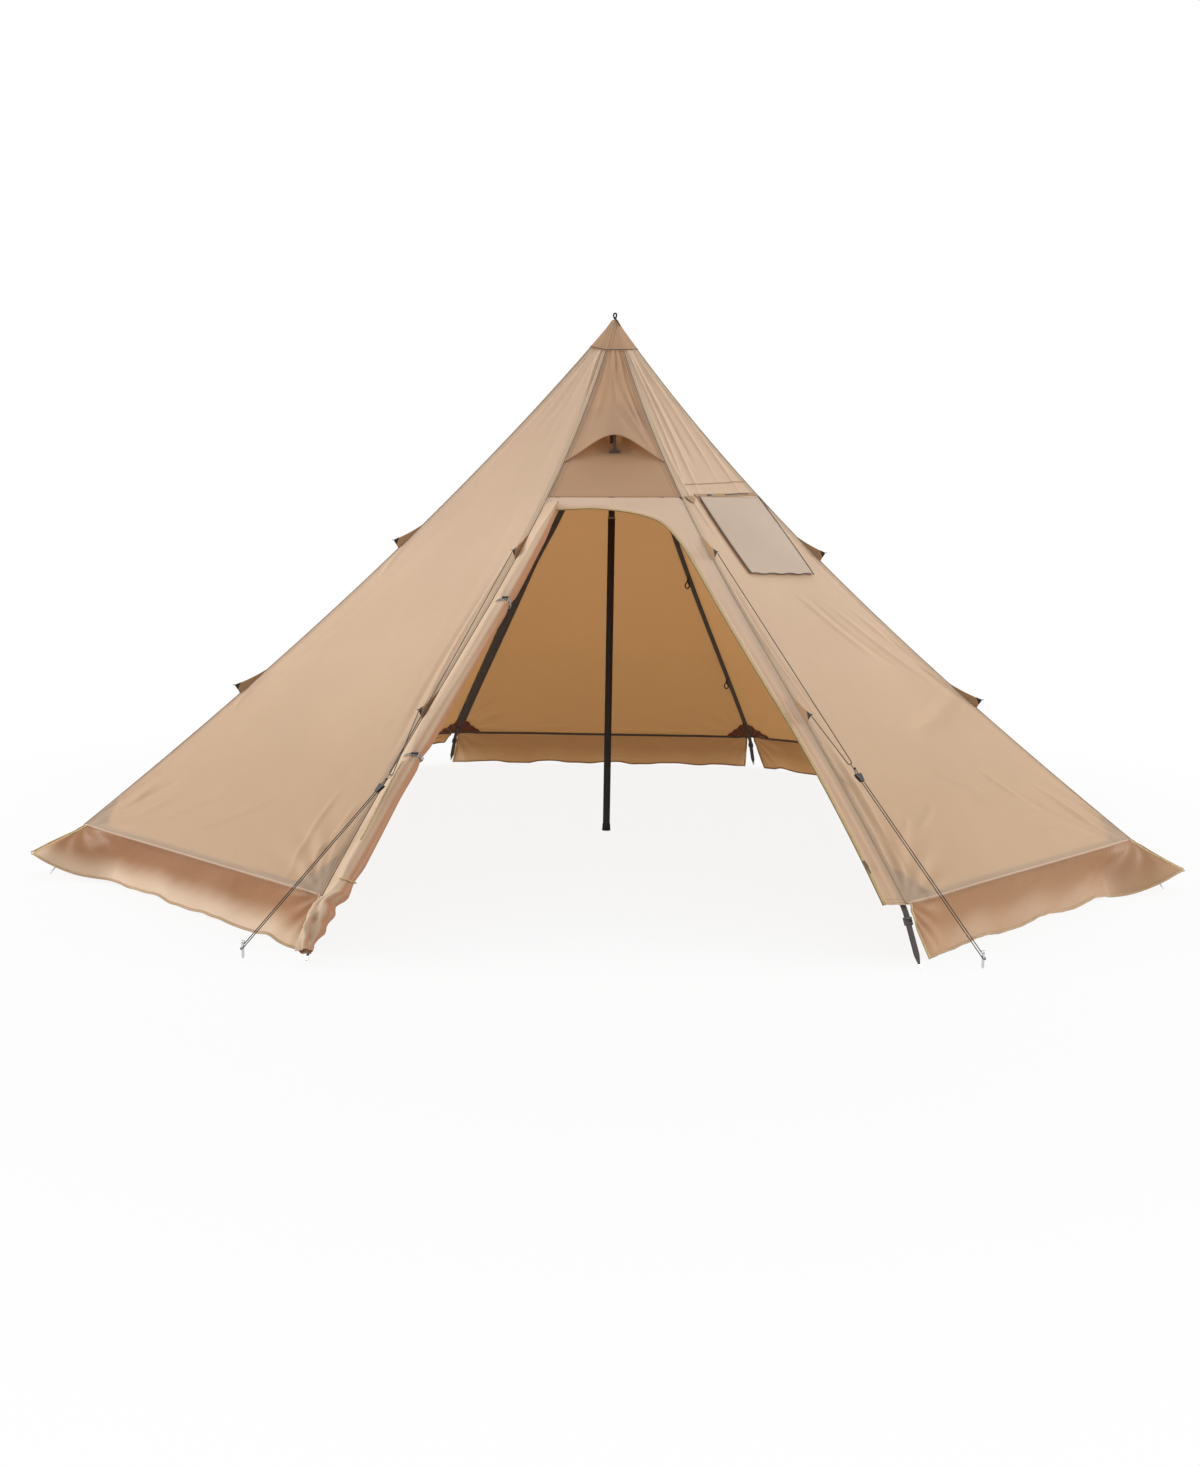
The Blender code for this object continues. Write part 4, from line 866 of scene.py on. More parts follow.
def door_frame():
    inner, outer = door_lines(14)
    share = np.linspace(0, 1, 48)[None, :, None]
    spots = outer[:, None] * (1 - share) + inner[:, None] * share
    u, t = spots[..., 0], spots[..., 1]
    calm = within(share[..., 0], 0.25)
    streaks = 0.0045 * noise(share[..., 0] * 5.5, t * 3.2, 83) * smooth(0.36, 0.5, t)
    ripple = (0.003 * noise(u * 9, t * 26, 81) + streaks) * calm * smooth(0.0, 0.02, t - DOOR_TOP)
    points = gore(0, u, t) + gore_normal(0, t) * ripple[..., None]
    sheet("door_band", points, BAND, "door_frame_panel")
    edge = gore(0, inner[:, 0], inner[:, 1])
    normal = gore_normal(0, inner[:, 1])
    side = -square_to(normal, edge)
    tape = ribbon("door_zip", edge + side * 0.004, side, normal, 0.012, 0.0022, PIPING)
    declare(tape, node="door_zip_tape")
    coil = edge + side * 0.0092 + normal * 0.0004
    declare(ribbon("door_zip_teeth", coil, side, normal, 0.0028, 0.003, ZIP_COIL))


def peak_cap():
    t = np.concatenate([[0.0, 0.003, 0.007], np.linspace(0.012, 0.0575, 22)])
    ring = []
    for k in range(8):
        for u in np.linspace(0, 1, 12, endpoint=False):
            line = ridge(k, t) * (1 - u) + ridge(k + 1, t) * u
            level = unit(line * [1, 1, 0] + np.array(outward(k)) * 1e-9)
            off = 0.0037 + 0.0012 * np.sin(2 * math.pi * u) * smooth(0.02, 0.05, t) * (1 if k % 2 else -1)
            off = off + 0.0045 * (1 - smooth(0.001, 0.02, t))
            ring.append(line + level * off[:, None])
    points = np.array(ring)
    points[:, 0] = [0, 0, PEAK - 0.0015]
    points = np.concatenate([points, points[:1]])
    sheet("cap_cloth", points, FRONT_CLOTH, "peak_cap")
    edge = points[:, -2]
    down = unit(points[:, -1] - points[:, -5])
    normal = square_to(down, edge)
    stitch = ribbon("cap_stitching", edge + normal * 0.0004, down, normal, 0.0035, 0.0012, SEAM_TAPE)
    declare(stitch)


# The corners of the long sides reach further out than those at front and back
SIDE_CORNERS = (2, 3, 6, 7)


def reach_of(k):
    return 0.12 if k % 8 in SIDE_CORNERS else 0.075


# Skirts, in metres: each end's distance from its corner, the pull at side and at other corners, and the fall
SKIRT_INSET, SIDE_PULL, END_PULL, SKIRT_FALL = 0.018, 0.19, 0.07, 0.18

# How far the foot of a skirt's end is drawn along the hem where it isn't the usual share, by panel and corner
END_PULLS = {(4, 4): 0.005, (4, 5): -0.035, (5, 5): 0.17}


def skirt_shape(k, across, down):
    """The part's own formula for a skirt: it bows in, flares out, and is pulled out at the side corners."""
    if k == 5:
        down = down * (0.3 + 0.7 * smooth(0.1, 0.3, across))
    first, last = corner(k), corner(k + 1)
    way = unit(last - first)
    full = np.linalg.norm(last - first)
    length = full - 2 * SKIRT_INSET
    spot = first + way * (SKIRT_INSET + across * length)[..., None] - [0, 0, 0.0018]
    wave = np.sin(2 * math.pi * across * length / 0.37 + 1.7 * k)
    pulls = (1 - smooth(0.0, 0.16, across), smooth(0.84, 1.0, across))
    calm = 1 - np.maximum(*pulls)
    foot = 0.001 + 0.0055 * (1 + wave) * calm
    flare = (0.026 + 0.00275 * wave) * down ** 1.2
    normal = hem_normal(k)
    out = normal * (flare - 0.014 * calm * np.sin(math.pi * down))[..., None]
    for pull, edge, back in zip(pulls, (k, k + 1), (way, -way)):
        if edge % 8 in SIDE_CORNERS:
            out = out + outward(edge) * (SIDE_PULL * pull * down)[..., None]
            out = out - normal * (flare * pull)[..., None]
            foot = foot + 0.085 * pull * pull
        else:
            out = out + back * (END_PULLS.get((k, edge), END_PULL) * pull * down)[..., None]
    if k == 7:
        out = out + way * (0.016 * pulls[1])[..., None]
    share = (SKIRT_INSET + across * length) / full
    hem_line = np.ones_like(share)
    sewn = surface(k, share, hem_line) - gore_normal(k, hem_line) * 0.0014
    points = spot + out + (sewn - spot) * ((1 - down) ** 4)[..., None]
    points[..., 2] -= (spot[..., 2] - foot) * down - 0.0035 * (1 - down) ** 12
    return points, calm, across * length


def skirt_folds(down, place, seed):
    """How far a skirt's long folds, creases, fans at its ends and gathers at its seam stand off it."""
    long_folds = 0.006 * noise(place * 5 + down * 1.5, down * 1.2, seed)
    creased = 0.0032 * noise(place * 17 + down * 4, down * 2.4, seed + 1)
    fan = np.zeros_like(place)
    for away, sign in ((place, 1.0), (place.max() - place, -1.0)):
        angle = np.arctan2(down * SKIRT_FALL + 0.01, away + 0.02)
        ring = np.exp(-((np.hypot(away, down * SKIRT_FALL) - 0.1) / 0.1) ** 2)
        fan = fan + 0.003 * ring * np.sin(angle * 15 + seed * sign)
    loose = smooth(0, 0.12, down) * (1 - 0.25 * down)
    gather = np.sin(2 * math.pi * place / 0.021 + 2 * noise(place * 3, down, seed + 4))
    gather = 0.0016 * gather * np.exp(-down * 9) * smooth(0, 0.02, down)
    return (long_folds + creased + fan) * loose + gather


def skirts():
    for k in range(1, 8):
        across, down = grid((0, 1, 200), (0, 1, 34))
        points, calm, place = skirt_shape(k, across, down)
        seed = 20 + k
        points += hem_normal(k) * skirt_folds(down, place, seed)[..., None]
        ragged = 0.0075 * noise(place * 19, place * 0, seed + 6) * smooth(0.75, 1.0, down) * calm
        points[..., 2] = np.maximum(points[..., 2] + ragged, 0.0012)
        # Painted light and shade: the front right and right skirts take their own shaded copy of the skirt
        # cloth
        material = SKIRT_RIGHT_SHADING if k in (1, 2) else SKIRT
        sheet("skirt_cloth_" + PANELS[k], points, material, "skirt_" + PANELS[k])
        fall = unit(points[:, -1] - points[:, -4])
        edge = points[:, -1] - fall * 0.004 + [0, 0, 0.0008]
        trims = [ribbon("hem", edge, fall, square_to(fall, edge), 0.009, 0.003, HEM_TAPE)]
        for row, inner in ((0, 3), (-1, -4)):
            side = unit(points[inner] - points[row])
            line = points[row] + side * 0.003
            trims.append(ribbon("end", line, side, square_to(side, line), 0.009, 0.003, PIPING))
        declare(join("skirt_hem_" + PANELS[k], trims))


# Door roll and its ties

# The ties' shares down the ridge
TIES = (0.55, 0.813)
HEM_TIE = 0.982

# The roll's first angle, its turns and points, then its length, half width and half depth in metres
ROLL_START, ROLL_TURNS, ROLL_STEPS = math.radians(165), 1.9, 96
ROLL_LENGTH, ROLL_WIDE, ROLL_DEEP = 2.6, 0.033, 0.028

# A toggle's radius along its length, in metres
TOGGLE_RADII = [0.003, 0.0036, 0.0042, 0.0042, 0.004, 0.0038]
TOGGLE_RADII += [0.0038, *TOGGLE_RADII[::-1]]


def roll_axis(t):
    low = np.minimum(t, 1.0)
    first, last = ridge(0, low), ridge(1, low)
    way = unit(last - first)
    normal = gore_normal(0, low)
    inward = 0.052 + 0.006 * smooth(0.85, 0.93, t) - 0.04 * smooth(0.95, 1.16, t)
    centre = first + way * inward[..., None] + normal * 0.012
    share = np.clip((t - 1.0) / 0.8, 0.0, 1.0)
    centre = centre + hem_normal(0) * (0.1 * share ** 0.8)[..., None]
    centre = centre - way * (0.042 * smooth(0, 1, share))[..., None]
    centre[..., 2] -= np.maximum(t - 1.0, 0.0) * HEM
    return centre, way, normal


def roll_section(t, angle, grow=0.0):
    """A point of the rolled door: folds run along it and tighten under the ties."""
    centre, way, normal = roll_axis(t)
    taper = smooth(0.33, 0.43, t)
    tie = 1.0
    for place in (*TIES, HEM_TIE):
        tie = tie - 0.24 * np.exp(-((t - place) / 0.012) ** 2)
    lower_end = 1 + 0.14 * smooth(1.0, 1.12, t) - 0.5 * smooth(1.35, 1.8, t)
    swell = (1 + 0.08 * np.sin(26 * t)) * tie * lower_end
    loose = smooth(1.0, 1.2, t)
    fold = 1 + 0.09 * np.sin(3 * angle + 9 * t) + 0.05 * np.sin(7 * angle - 14 * t + 1)
    fold = fold + 0.03 * noise(angle * 2, t * 40, 91)
    fold = fold + loose * (0.16 * np.sin(5 * angle + 7 * t) + 0.22 * noise(angle * 1.5, t * 11, 93))
    scale = taper * swell * fold
    wide = (ROLL_WIDE * scale + grow) * np.cos(angle)
    deep = (ROLL_DEEP * scale + grow) * np.sin(angle)
    return centre + way * wide[..., None] + normal * deep[..., None]


def door_roll():
    down = np.concatenate([np.linspace(0.352, 1.0, 230), np.linspace(1.005, 1.8, 60)])
    turns = np.linspace(ROLL_START, ROLL_START - ROLL_TURNS * 2 * math.pi, ROLL_STEPS)
    t, angle = np.meshgrid(down, turns, indexing="ij")
    centre, way, _ = roll_axis(t)
    inner = 1 - 0.42 * np.linspace(0, 1, ROLL_STEPS)
    points = centre + (roll_section(t, angle) - centre) * inner[:, None]
    hanging = smooth(1.0, 1.03, t)[..., None]
    root = (ridge(0, np.minimum(t, 1.0)) + way * 0.002) * (1 - hanging) + (centre - way * 0.031) * hanging
    blend = np.zeros((ROLL_STEPS, 1))
    blend[:8, 0] = np.linspace(1, 0, 8) ** 1.5
    thing = cloth("door_rolled", points * (1 - blend) + root * blend, ROLL)
    declare(thing, node="door_roll")
    for name, place in zip(("upper", "lower"), TIES):
        door_tie(name, place)
    angle = full_turn(60)
    hem_tie = roll_section(HEM_TIE + 0.004 * np.cos(angle - 1.0), angle, 0.002)
    piping = roll_section(np.linspace(0.825, 0.935, 60), np.full(60, math.radians(118)), 0.0004)
    declare(pipe("roll_zip", piping, 0.0022, PIPING))
    declare(pipe("hem_tie", hem_tie, 0.0018, PIPING, closed=True))


def door_tie(name, place):
    """Two turns of elastic round the roll, with a toggle in front and the elastic's end."""
    angle = np.linspace(math.radians(150), math.radians(-150), 60)
    turns = [roll_section(np.full(60, place + gap), angle, 0.0026) for gap in (0, 0.0022)]
    pieces = [pipe("turn", turn, 0.0016, ELASTIC) for turn in turns]
    way = roll_axis(np.array([place]))[1][0]
    along = ridge_frame(0, np.array([place]))[0][0]
    front = roll_section(np.array([place]), np.array([math.radians(75)]), 0.006)[0]
    bends = [front - way * 0.012, front, front + way * 0.012]
    pieces.append(pipe("toggle", catmull(bends, 6), TOGGLE_RADII, PLASTIC))
    bends = [front + way * 0.01, front + way * 0.016 + along * 0.012, front + way * 0.012 + along * 0.03]
    pieces.append(pipe("end", catmull(bends, 6), 0.0013, ELASTIC))
    declare(join("door_tie_cord_" + name, pieces), node="door_tie_" + name)


# Webbing, straps and buckles

def strap_frame(k):
    """The corner strap's top, direction down, outward face, width's direction and length."""
    normal, across = (a[0] for a in ridge_frame(k, np.array([1.0]))[1:])
    top = corner(k) - normal * 0.0099 - [0, 0, 0.012]
    foot = corner(k) + outward(k) * reach_of(k)
    foot[2] = 0.004
    way = unit(foot - top)
    face = unit(np.cross(across, way))
    if face[2] < 0:
        face = -face
    return top, way, face, across, float(np.linalg.norm(foot - top))


def ladder_lock(name, k):
    top, way, face, across, _ = strap_frame(k)
    seat = seat_of(top + way * 0.02 + face * 0.00075, across, way, face)
    bars = [
        block((-0.0145, 0.0, -0.0034), (-0.0117, 0.024, 0.0032), seat, PLASTIC),
        block((0.0117, 0.0, -0.0034), (0.0145, 0.024, 0.0032), seat, PLASTIC),
        block((-0.0145, 0.0, 0.0016), (0.0145, 0.0065, 0.0044), seat, PLASTIC, 0.001),
        block((-0.012, 0.0095, -0.0042), (0.012, 0.0125, -0.0017), seat, PLASTIC),
        block((-0.012, 0.0165, 0.0016), (0.012, 0.0195, 0.0038), seat, PLASTIC),
        block((-0.012, 0.0212, -0.0038), (0.012, 0.024, -0.0017), seat, PLASTIC),
    ]
    for y in (0.0008, 0.0028, 0.0048):
        bars.append(block((-0.012, y, 0.0042), (0.012, y + 0.001, 0.0051), seat, PLASTIC, 0.0002))
    made = join("ladder_lock_" + name, bars)
    declare(made, "corner_buckle_" + name, "corner_buckle_" + name)


def tab(k, start):
    """A pull-out tab: two layers of cloth in a slim triangle with a webbing tip and a small cord loop."""
    length = ridge_length(k)
    first, outer = ridge(k, start), ridge(k, start + TAB_LENGTH / length, TAB_REACH)
    last = ridge(k, start + (TAB_LENGTH + TAB_RETURN) / length)
    x = unit(last - first)
    y = unit((outer - first) - x * np.dot(outer - first, x))
    tip = np.array([np.dot(outer - first, x), np.dot(outer - first, y)])
    end = float(np.linalg.norm(last - first))
    curve = [(0.0, -0.002)]
    for share in np.arange(1, 10) / 10:
        curve.append((tip[0] * share, tip[1] * share - 0.0035 * math.sin(math.pi * share)))
    curve += [tuple(tip), (end, -0.002)]
    leaf = plate("leaf", curve[::-1], 0.003, first, x, y, TAB, 0.0011)
    back = [(tip[0] + end) * 0.5 + 0.001, tip[1] * 0.45]
    cut = [tip * 0.84 + [0.002, 0.0], tip + [0.001, 0.0012], tip + [0.004, -0.001], back]
    patch = plate("patch", cut[::-1], 0.0042, first, x, y, WEBBING, 0.0008)
    z = np.cross(x, y)
    eye = first + x * (tip[0] + 0.004) + y * (tip[1] + 0.003)
    ring = [
        eye + (x * 0.8 + y * 0.6) * 0.006 * math.cos(a) + z * 0.005 * math.sin(a) for a in full_turn(20)
    ]
    return [leaf, patch, pipe("loop", ring, 0.0009, CORD, 8, closed=True)]


def corner_strap(k):
    """The strap from the ridge to the ground, narrow at its end, with a metal tip."""
    top, way, face, across, length = strap_frame(k)
    start = np.array([0.975])
    above = ridge(k, start)[0] - ridge_frame(k, start)[1][0] * 0.0091
    rest = [top + way * length * share for share in (0.2, 0.4, 0.6, 0.8, 0.93, 1.0)]
    path = catmull([above, top, *rest], 8)
    run = lengths(path, 0)
    width = 0.022 - 0.018 * smooth(run[-1] - 0.048, run[-1], run)
    across_all, face_all = np.tile(across, (len(path), 1)), np.tile(face, (len(path), 1))
    strap = ribbon("strap", path, across_all, face_all, width, 0.0015, STRAP)
    end = seat_of(path[-1] - way * 0.012, across, way, face)
    return [strap, block((-0.0065, -0.002, -0.0012), (0.0065, 0.011, 0.0014), end, STEEL, 0.0005)]


def webbing_and_straps():
    for k, name in enumerate(NAMES):
        t = np.linspace(0.062, 0.99, 140)
        normal, across, depth = band_frame(k, t)
        line = ridge(k, t) - normal * depth[:, None]
        pieces = [ribbon("band", line, across, normal, 2 * BAND_HALF, 0.0015, WEBBING)]
        t = np.linspace(0.056, 0.999, 160)
        _, normal, across = ridge_frame(k, t)
        line = ridge(k, t)
        pieces.append(ribbon("seam", line + normal * 0.0004, across, normal, 0.0036, 0.0024, TRIM))
        if k < 2:
            high = t < 0.35
            line, across, normal = (line + normal * 0.0012)[high], across[high], normal[high]
            pieces.append(ribbon("stitching", line, across, normal, 0.0014, 0.002, SEAM_TAPE))
        for start in TAB_START:
            pieces += tab(k, start)
        made = join("ridge_webbing_set_" + name, pieces + corner_strap(k))
        declare(made, node="ridge_webbing_" + name)
        ladder_lock(name, k)


# The vent's strut, the stove jack and the zip

def strut():
    """A flat T-shaped strut with a rib, on the vent panel and sewn to the hood with a webbing hinge."""
    normal = gore_normal(0, np.array([STRUT_FOOT]))[0]
    edge = float(hood_edge(0.5))
    reach = 0.046 + 0.97 * (edge - 0.046)
    under = gore(0, np.array([0.5]), np.array([reach]))[0]
    rise = HOOD_RISE * float(smooth(0.11, edge + 0.03, reach)) + 0.0026
    hinge = under + gore_normal(0, np.array([reach]))[0] * rise - normal * 0.0056
    base = gore(0, np.array([0.5]), np.array([STRUT_FOOT]))[0]
    rising = unit(hinge - base)
    length = float(np.linalg.norm(hinge - base)) - 0.0024
    right = np.array([1.0, 0.0, 0.0])
    right = unit(right - rising * np.dot(right, rising))
    seat = seat_of(hinge, right, rising, np.cross(right, rising))
    pieces = [
        block((-0.006, -length + 0.006, -0.002), (0.006, 0.0, 0.002), seat, PROP, 0.0009),
        block((-0.023, -length, -0.002), (0.023, -length + 0.01, 0.002), seat, PROP, 0.0012),
        block((-0.0022, -length + 0.008, -0.0028), (0.0022, -0.008, 0.0028), seat, PROP, 0.0006),
        block((-0.013, -length + 0.008, -0.0016), (0.013, -length + 0.016, 0.0016), seat, PROP, 0.001),
        block((-0.011, -0.0075, -0.0026), (0.011, 0.0, 0.0026), seat, WEBBING, 0.0006),
    ]
    made = join("vent_strut", pieces)
    declare(made, "vent_prop", "vent_prop")


# The flap's two ends as shares across the gore, at its top and at its foot, and its foot's share down
FLAP_TOP_ENDS, FLAP_FOOT_ENDS, FLAP_FOOT = (0.207, 0.972), (0.242, 0.801), 0.487


def between(ends, share):
    return ends[0] + share * (ends[1] - ends[0])


def flap_surface(across, down):
    place = between((between(FLAP_TOP_ENDS, across), between(FLAP_FOOT_ENDS, across)), down)
    deep = between((DOOR_TOP, FLAP_FOOT), down)
    bulge = 0.012 * np.sin(math.pi * across) * np.sin(math.pi * down)
    edge = np.minimum(np.minimum(across, 1 - across), np.minimum(down, 1 - down))
    crease = 0.0012 * noise(across * 3, down * 3, 55) * smooth(0, 0.12, edge)
    return gore(1, place, deep) + gore_normal(1, deep) * (0.0046 + bulge + crease)[..., None]


def stove_flap():
    across, down = grid((0, 1, 40), (0, 1, 34))
    points = flap_surface(across, down)
    points[..., 2] += 0.0022 * np.sin(across * 23) * smooth(0.9, 1.0, down)
    thing = cloth("jack_cover", points, FLAP)
    solid = thing.modifiers.new("layers", "SOLIDIFY")
    solid.thickness = 0.002
    solid.offset = -1.0
    declare(thing, "stove_flap", "stove_flap")
    normal = gore_normal(1, np.array([0.41]))[0]
    rims = []
    for edge in (points[0], points[:, -1], points[-1]):
        lay = np.tile(normal, (len(edge), 1))
        line = edge + normal * 0.0004
        rims.append(ribbon("rim", line, square_to(lay, edge), lay, 0.004, 0.0022, SEAM_TAPE))
    declare(join("jack_cover_rim", rims), "stove_flap")


def on_front_right(name, u, t, lift, width, thickness, material):
    """A ribbon that lies on the front right gore's cloth."""
    lay = gore_normal(1, t)
    line = surface(1, u, t) + lay * lift
    return ribbon(name, line, square_to(lay, line), lay, width, thickness, material)


def flap_seams():
    """The strip that holds the flap's upper edge, with its hook-and-loop tabs."""
    u = np.linspace(0.118, 0.985, 50)
    upper = on_front_right("upper", u, 0.3145 - 0.0095 * u, 0.001, 0.0045, 0.002, TRIM)
    u = u[3:]
    lower = on_front_right("lower", u, 0.336 - 0.007 * u, 0.0016, 0.016, 0.0024, TRIM)
    declare(join("jack_strip", [upper, lower]))
    pieces = []
    share = np.linspace(0, 1, 16)
    for u0, t0, u1, t1, width, material in (
        (0.33, 0.3335, 0.385, 0.333, 0.0075, VELCRO), (0.573, 0.3315, 0.888, 0.329, 0.0042, VELCRO),
        (0.992, 0.332, 0.992, 0.358, 0.003, SEAM_TAPE),
    ):
        u, t = u0 + (u1 - u0) * share, t0 + (t1 - t0) * share + 0.0006 * np.sin(9 * share)
        pieces.append(on_front_right("bit", u, t, 0.0034, width, 0.0018, material))
    lay = gore_normal(1, np.array([0.343]))[0]
    right = unit(corner(2) - corner(1))
    right = unit(right - lay * np.dot(right, lay))
    spot = surface(1, np.array([0.088]), np.array([0.343]))[0] + lay * 0.004
    ear = [(-0.024, -0.014), (0.018, -0.018), (0.026, -0.002), (0.004, 0.024), (-0.008, 0.014)]
    pieces.append(plate("ear", ear, 0.0024, spot, right, np.cross(right, lay), TRIM, 0.001))
    declare(join("hook_and_loop_tabs", pieces))


def behind_gore(x, y, depth):
    """Points inside the front right gore's cloth, from metres across and down from the jack's middle."""
    t = JACK_MIDDLE[1] + y / ridge_length(1)
    u = JACK_MIDDLE[0] + x / np.linalg.norm(ridge(2, t) - ridge(1, t), axis=-1)
    return surface(1, u, t) - gore_normal(1, t) * depth


def stove_jack():
    """A sheet with a round hole, sewn behind the opening in the gore with a lap on each side."""
    middle_t = JACK_MIDDLE[1]
    width = float(np.linalg.norm(ridge(2, middle_t) - ridge(1, middle_t)))
    wide = (JACK_RIGHT - JACK_LEFT) * width / 2 + JACK_LAP
    height = gore(1, JACK_LEFT, JACK_FOOT) - gore(1, JACK_LEFT, JACK_TOP)
    high = float(np.linalg.norm(height)) / 2 + JACK_LAP
    share, angle = grid((0, 1, 30), (0, 2 * math.pi, 161))
    square = 1 / np.maximum(np.abs(np.cos(angle)), np.abs(np.sin(angle)))
    x = np.cos(angle) * (JACK_HOLE * (1 - share) + square * wide * share)
    y = np.sin(angle) * (JACK_HOLE * (1 - share) + square * high * share)
    jack = cloth("jack_fabric", behind_gore(x, y, 0.0046), HEAT)
    declare(jack, node="stove_jack")
    turn = full_turn(60)
    ring = behind_gore(0.057 * np.cos(turn), 0.057 * np.sin(turn), 0.0034)
    declare(pipe("jack_hole_rim", ring, 0.0022, PIPING, 8, closed=True))


def slider():
    low, high = (np.array(p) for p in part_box("door_zip_slider"))
    along = unit(gore(0, 0.964, 0.93) - gore(0, 0.965, 0.955))
    normal = gore_normal(0, np.array([0.95]))[0]
    seat = seat_of((low + high) / 2, unit(np.cross(along, normal)), along, normal)
    pieces = [
        block((-0.0058, -0.013, -0.0022), (0.0058, 0.002, 0.0022), seat, DARK_METAL, 0.001),
        block((-0.0042, 0.0, -0.002), (0.0042, 0.013, 0.002), seat, DARK_METAL, 0.001),
        block((-0.0012, -0.008, 0.0018), (0.0012, 0.008, 0.0036), seat, DARK_METAL, 0.0005),
        block((-0.003, -0.034, 0.0026), (0.003, -0.006, 0.004), seat, DARK_METAL, 0.0005),
    ]
    made = join("zip_slider_body", pieces)
    declare(made, "door_zip_slider", "door_zip_slider")


# Pole, peak loop, guylines

# Heights and radii of the pole's tubes, in metres
FOOT_TOP, JOINT, POLE_TOP, UPPER_FOOT = 0.0304, 1.365, 2.15, 1.065
LOWER_RADIUS, LOWER_BORE, UPPER_RADIUS, UPPER_BORE = 0.0155, 0.0143, 0.0137, 0.0125


def pole():
    foot = [(0.0, 0.0), (0.0105, 0.0), (0.0185, 0.0006), (0.0188, 0.004), (0.0186, 0.008)]
    for i in range(4):
        z, less = 0.009 + i * 0.005, i * 0.0002
        for radius, up in ((0.0184, 0.0), (0.0176, 0.0015), (0.0176, 0.003), (0.0183, 0.0045)):
            foot.append((radius - less, z + up))
    foot += [(0.0172, 0.0296), (0.016, 0.03), (0.0, 0.03)]
    ring = [
        (LOWER_BORE, 1.3654), (0.017, 1.3654), (0.0175, 1.3659), (0.0175, 1.368), (0.0169, 1.3686),
        (0.0169, 1.37), (0.0175, 1.3706), (0.0175, 1.3729), (0.017, 1.3734), (LOWER_BORE, 1.3734),
    ]
    tip = [
        (0.0, 2.1504), (0.0135, 2.1504), (UPPER_RADIUS, 2.151), (UPPER_RADIUS, 2.158), (0.0128, 2.161),
        (0.0112, 2.168), (0.0099, 2.184), (0.007, 2.191), (0.004, 2.196), (0.0, 2.196),
    ]
    lower = [
        (LOWER_BORE, JOINT), (LOWER_RADIUS - 0.0002, JOINT), (LOWER_RADIUS, JOINT - 0.0004),
        (LOWER_RADIUS, FOOT_TOP + 0.0002), (LOWER_RADIUS - 0.0002, FOOT_TOP), (LOWER_BORE, FOOT_TOP),
    ]
    upper = [
        (UPPER_BORE, POLE_TOP), (UPPER_RADIUS - 0.0002, POLE_TOP), (UPPER_RADIUS, POLE_TOP - 0.0004),
        (UPPER_RADIUS, UPPER_FOOT + 0.0004), (UPPER_RADIUS - 0.0002, UPPER_FOOT), (UPPER_BORE, UPPER_FOOT),
    ]
    for name, profile, material, slot, body in (
        ("pole_foot", foot, RUBBER, "rubber", "tent"),
        ("pole_lower", lower, POLE, "pole_metal", "tent"),
        ("pole_lock_ring", ring, RING, "grey_metal", "tent"),
        ("pole_upper", upper, POLE, "pole_metal", "pole_upper"),
        ("pole_tip", tip, RUBBER, "rubber", "pole_upper"),
    ):
        declare(lathe(name + "_turned", profile, material, sides=72), body, name)


def peak_loop():
    low, high = (np.array(p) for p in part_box("peak_loop"))
    middle = (low + high) / 2
    a = full_turn(40)
    wide = 0.0058 * np.sin(a) * (1 - 0.35 * np.cos(a))
    ring = middle + np.stack([wide, 0.0018 * np.sin(2 * a), -0.0112 * np.cos(a)], -1)
    loop = pipe("loop", ring, 0.0033, BLACK_CORD, 10, closed=True)
    profile = [(0.0, -0.005), (0.0042, -0.004), (0.006, -0.001), (0.006, 0.001), (0.004, 0.004), (0.0, 0.005)]
    bead = lathe("bead", profile, BLACK_CORD, tuple(middle - [0, 0, 0.0085]), 20)
    start = middle - [0, 0.004, 0.011]
    bends = np.array([(0, 0, 0), (0.005, -0.008, -0.005), (0.012, -0.016, -0.018), (0.019, -0.023, -0.033)])
    tail = pipe("tail", catmull(start + bends, 5), 0.0024, BLACK_CORD, 8)
    made = join("peak_cord_loop", [loop, bead, tail])
    declare(made, node="peak_loop")


def straight(a, b, step=0.03):
    count = max(round(float(np.linalg.norm(b - a)) / step), 1)
    return [a + (b - a) * i / count for i in range(count)]


def turn_round(middle, start, bulge, steps=12):
    turns = [math.pi * i / steps for i in range(steps + 1)]
    return [middle + start * math.cos(a) + bulge * math.sin(a) for a in turns]


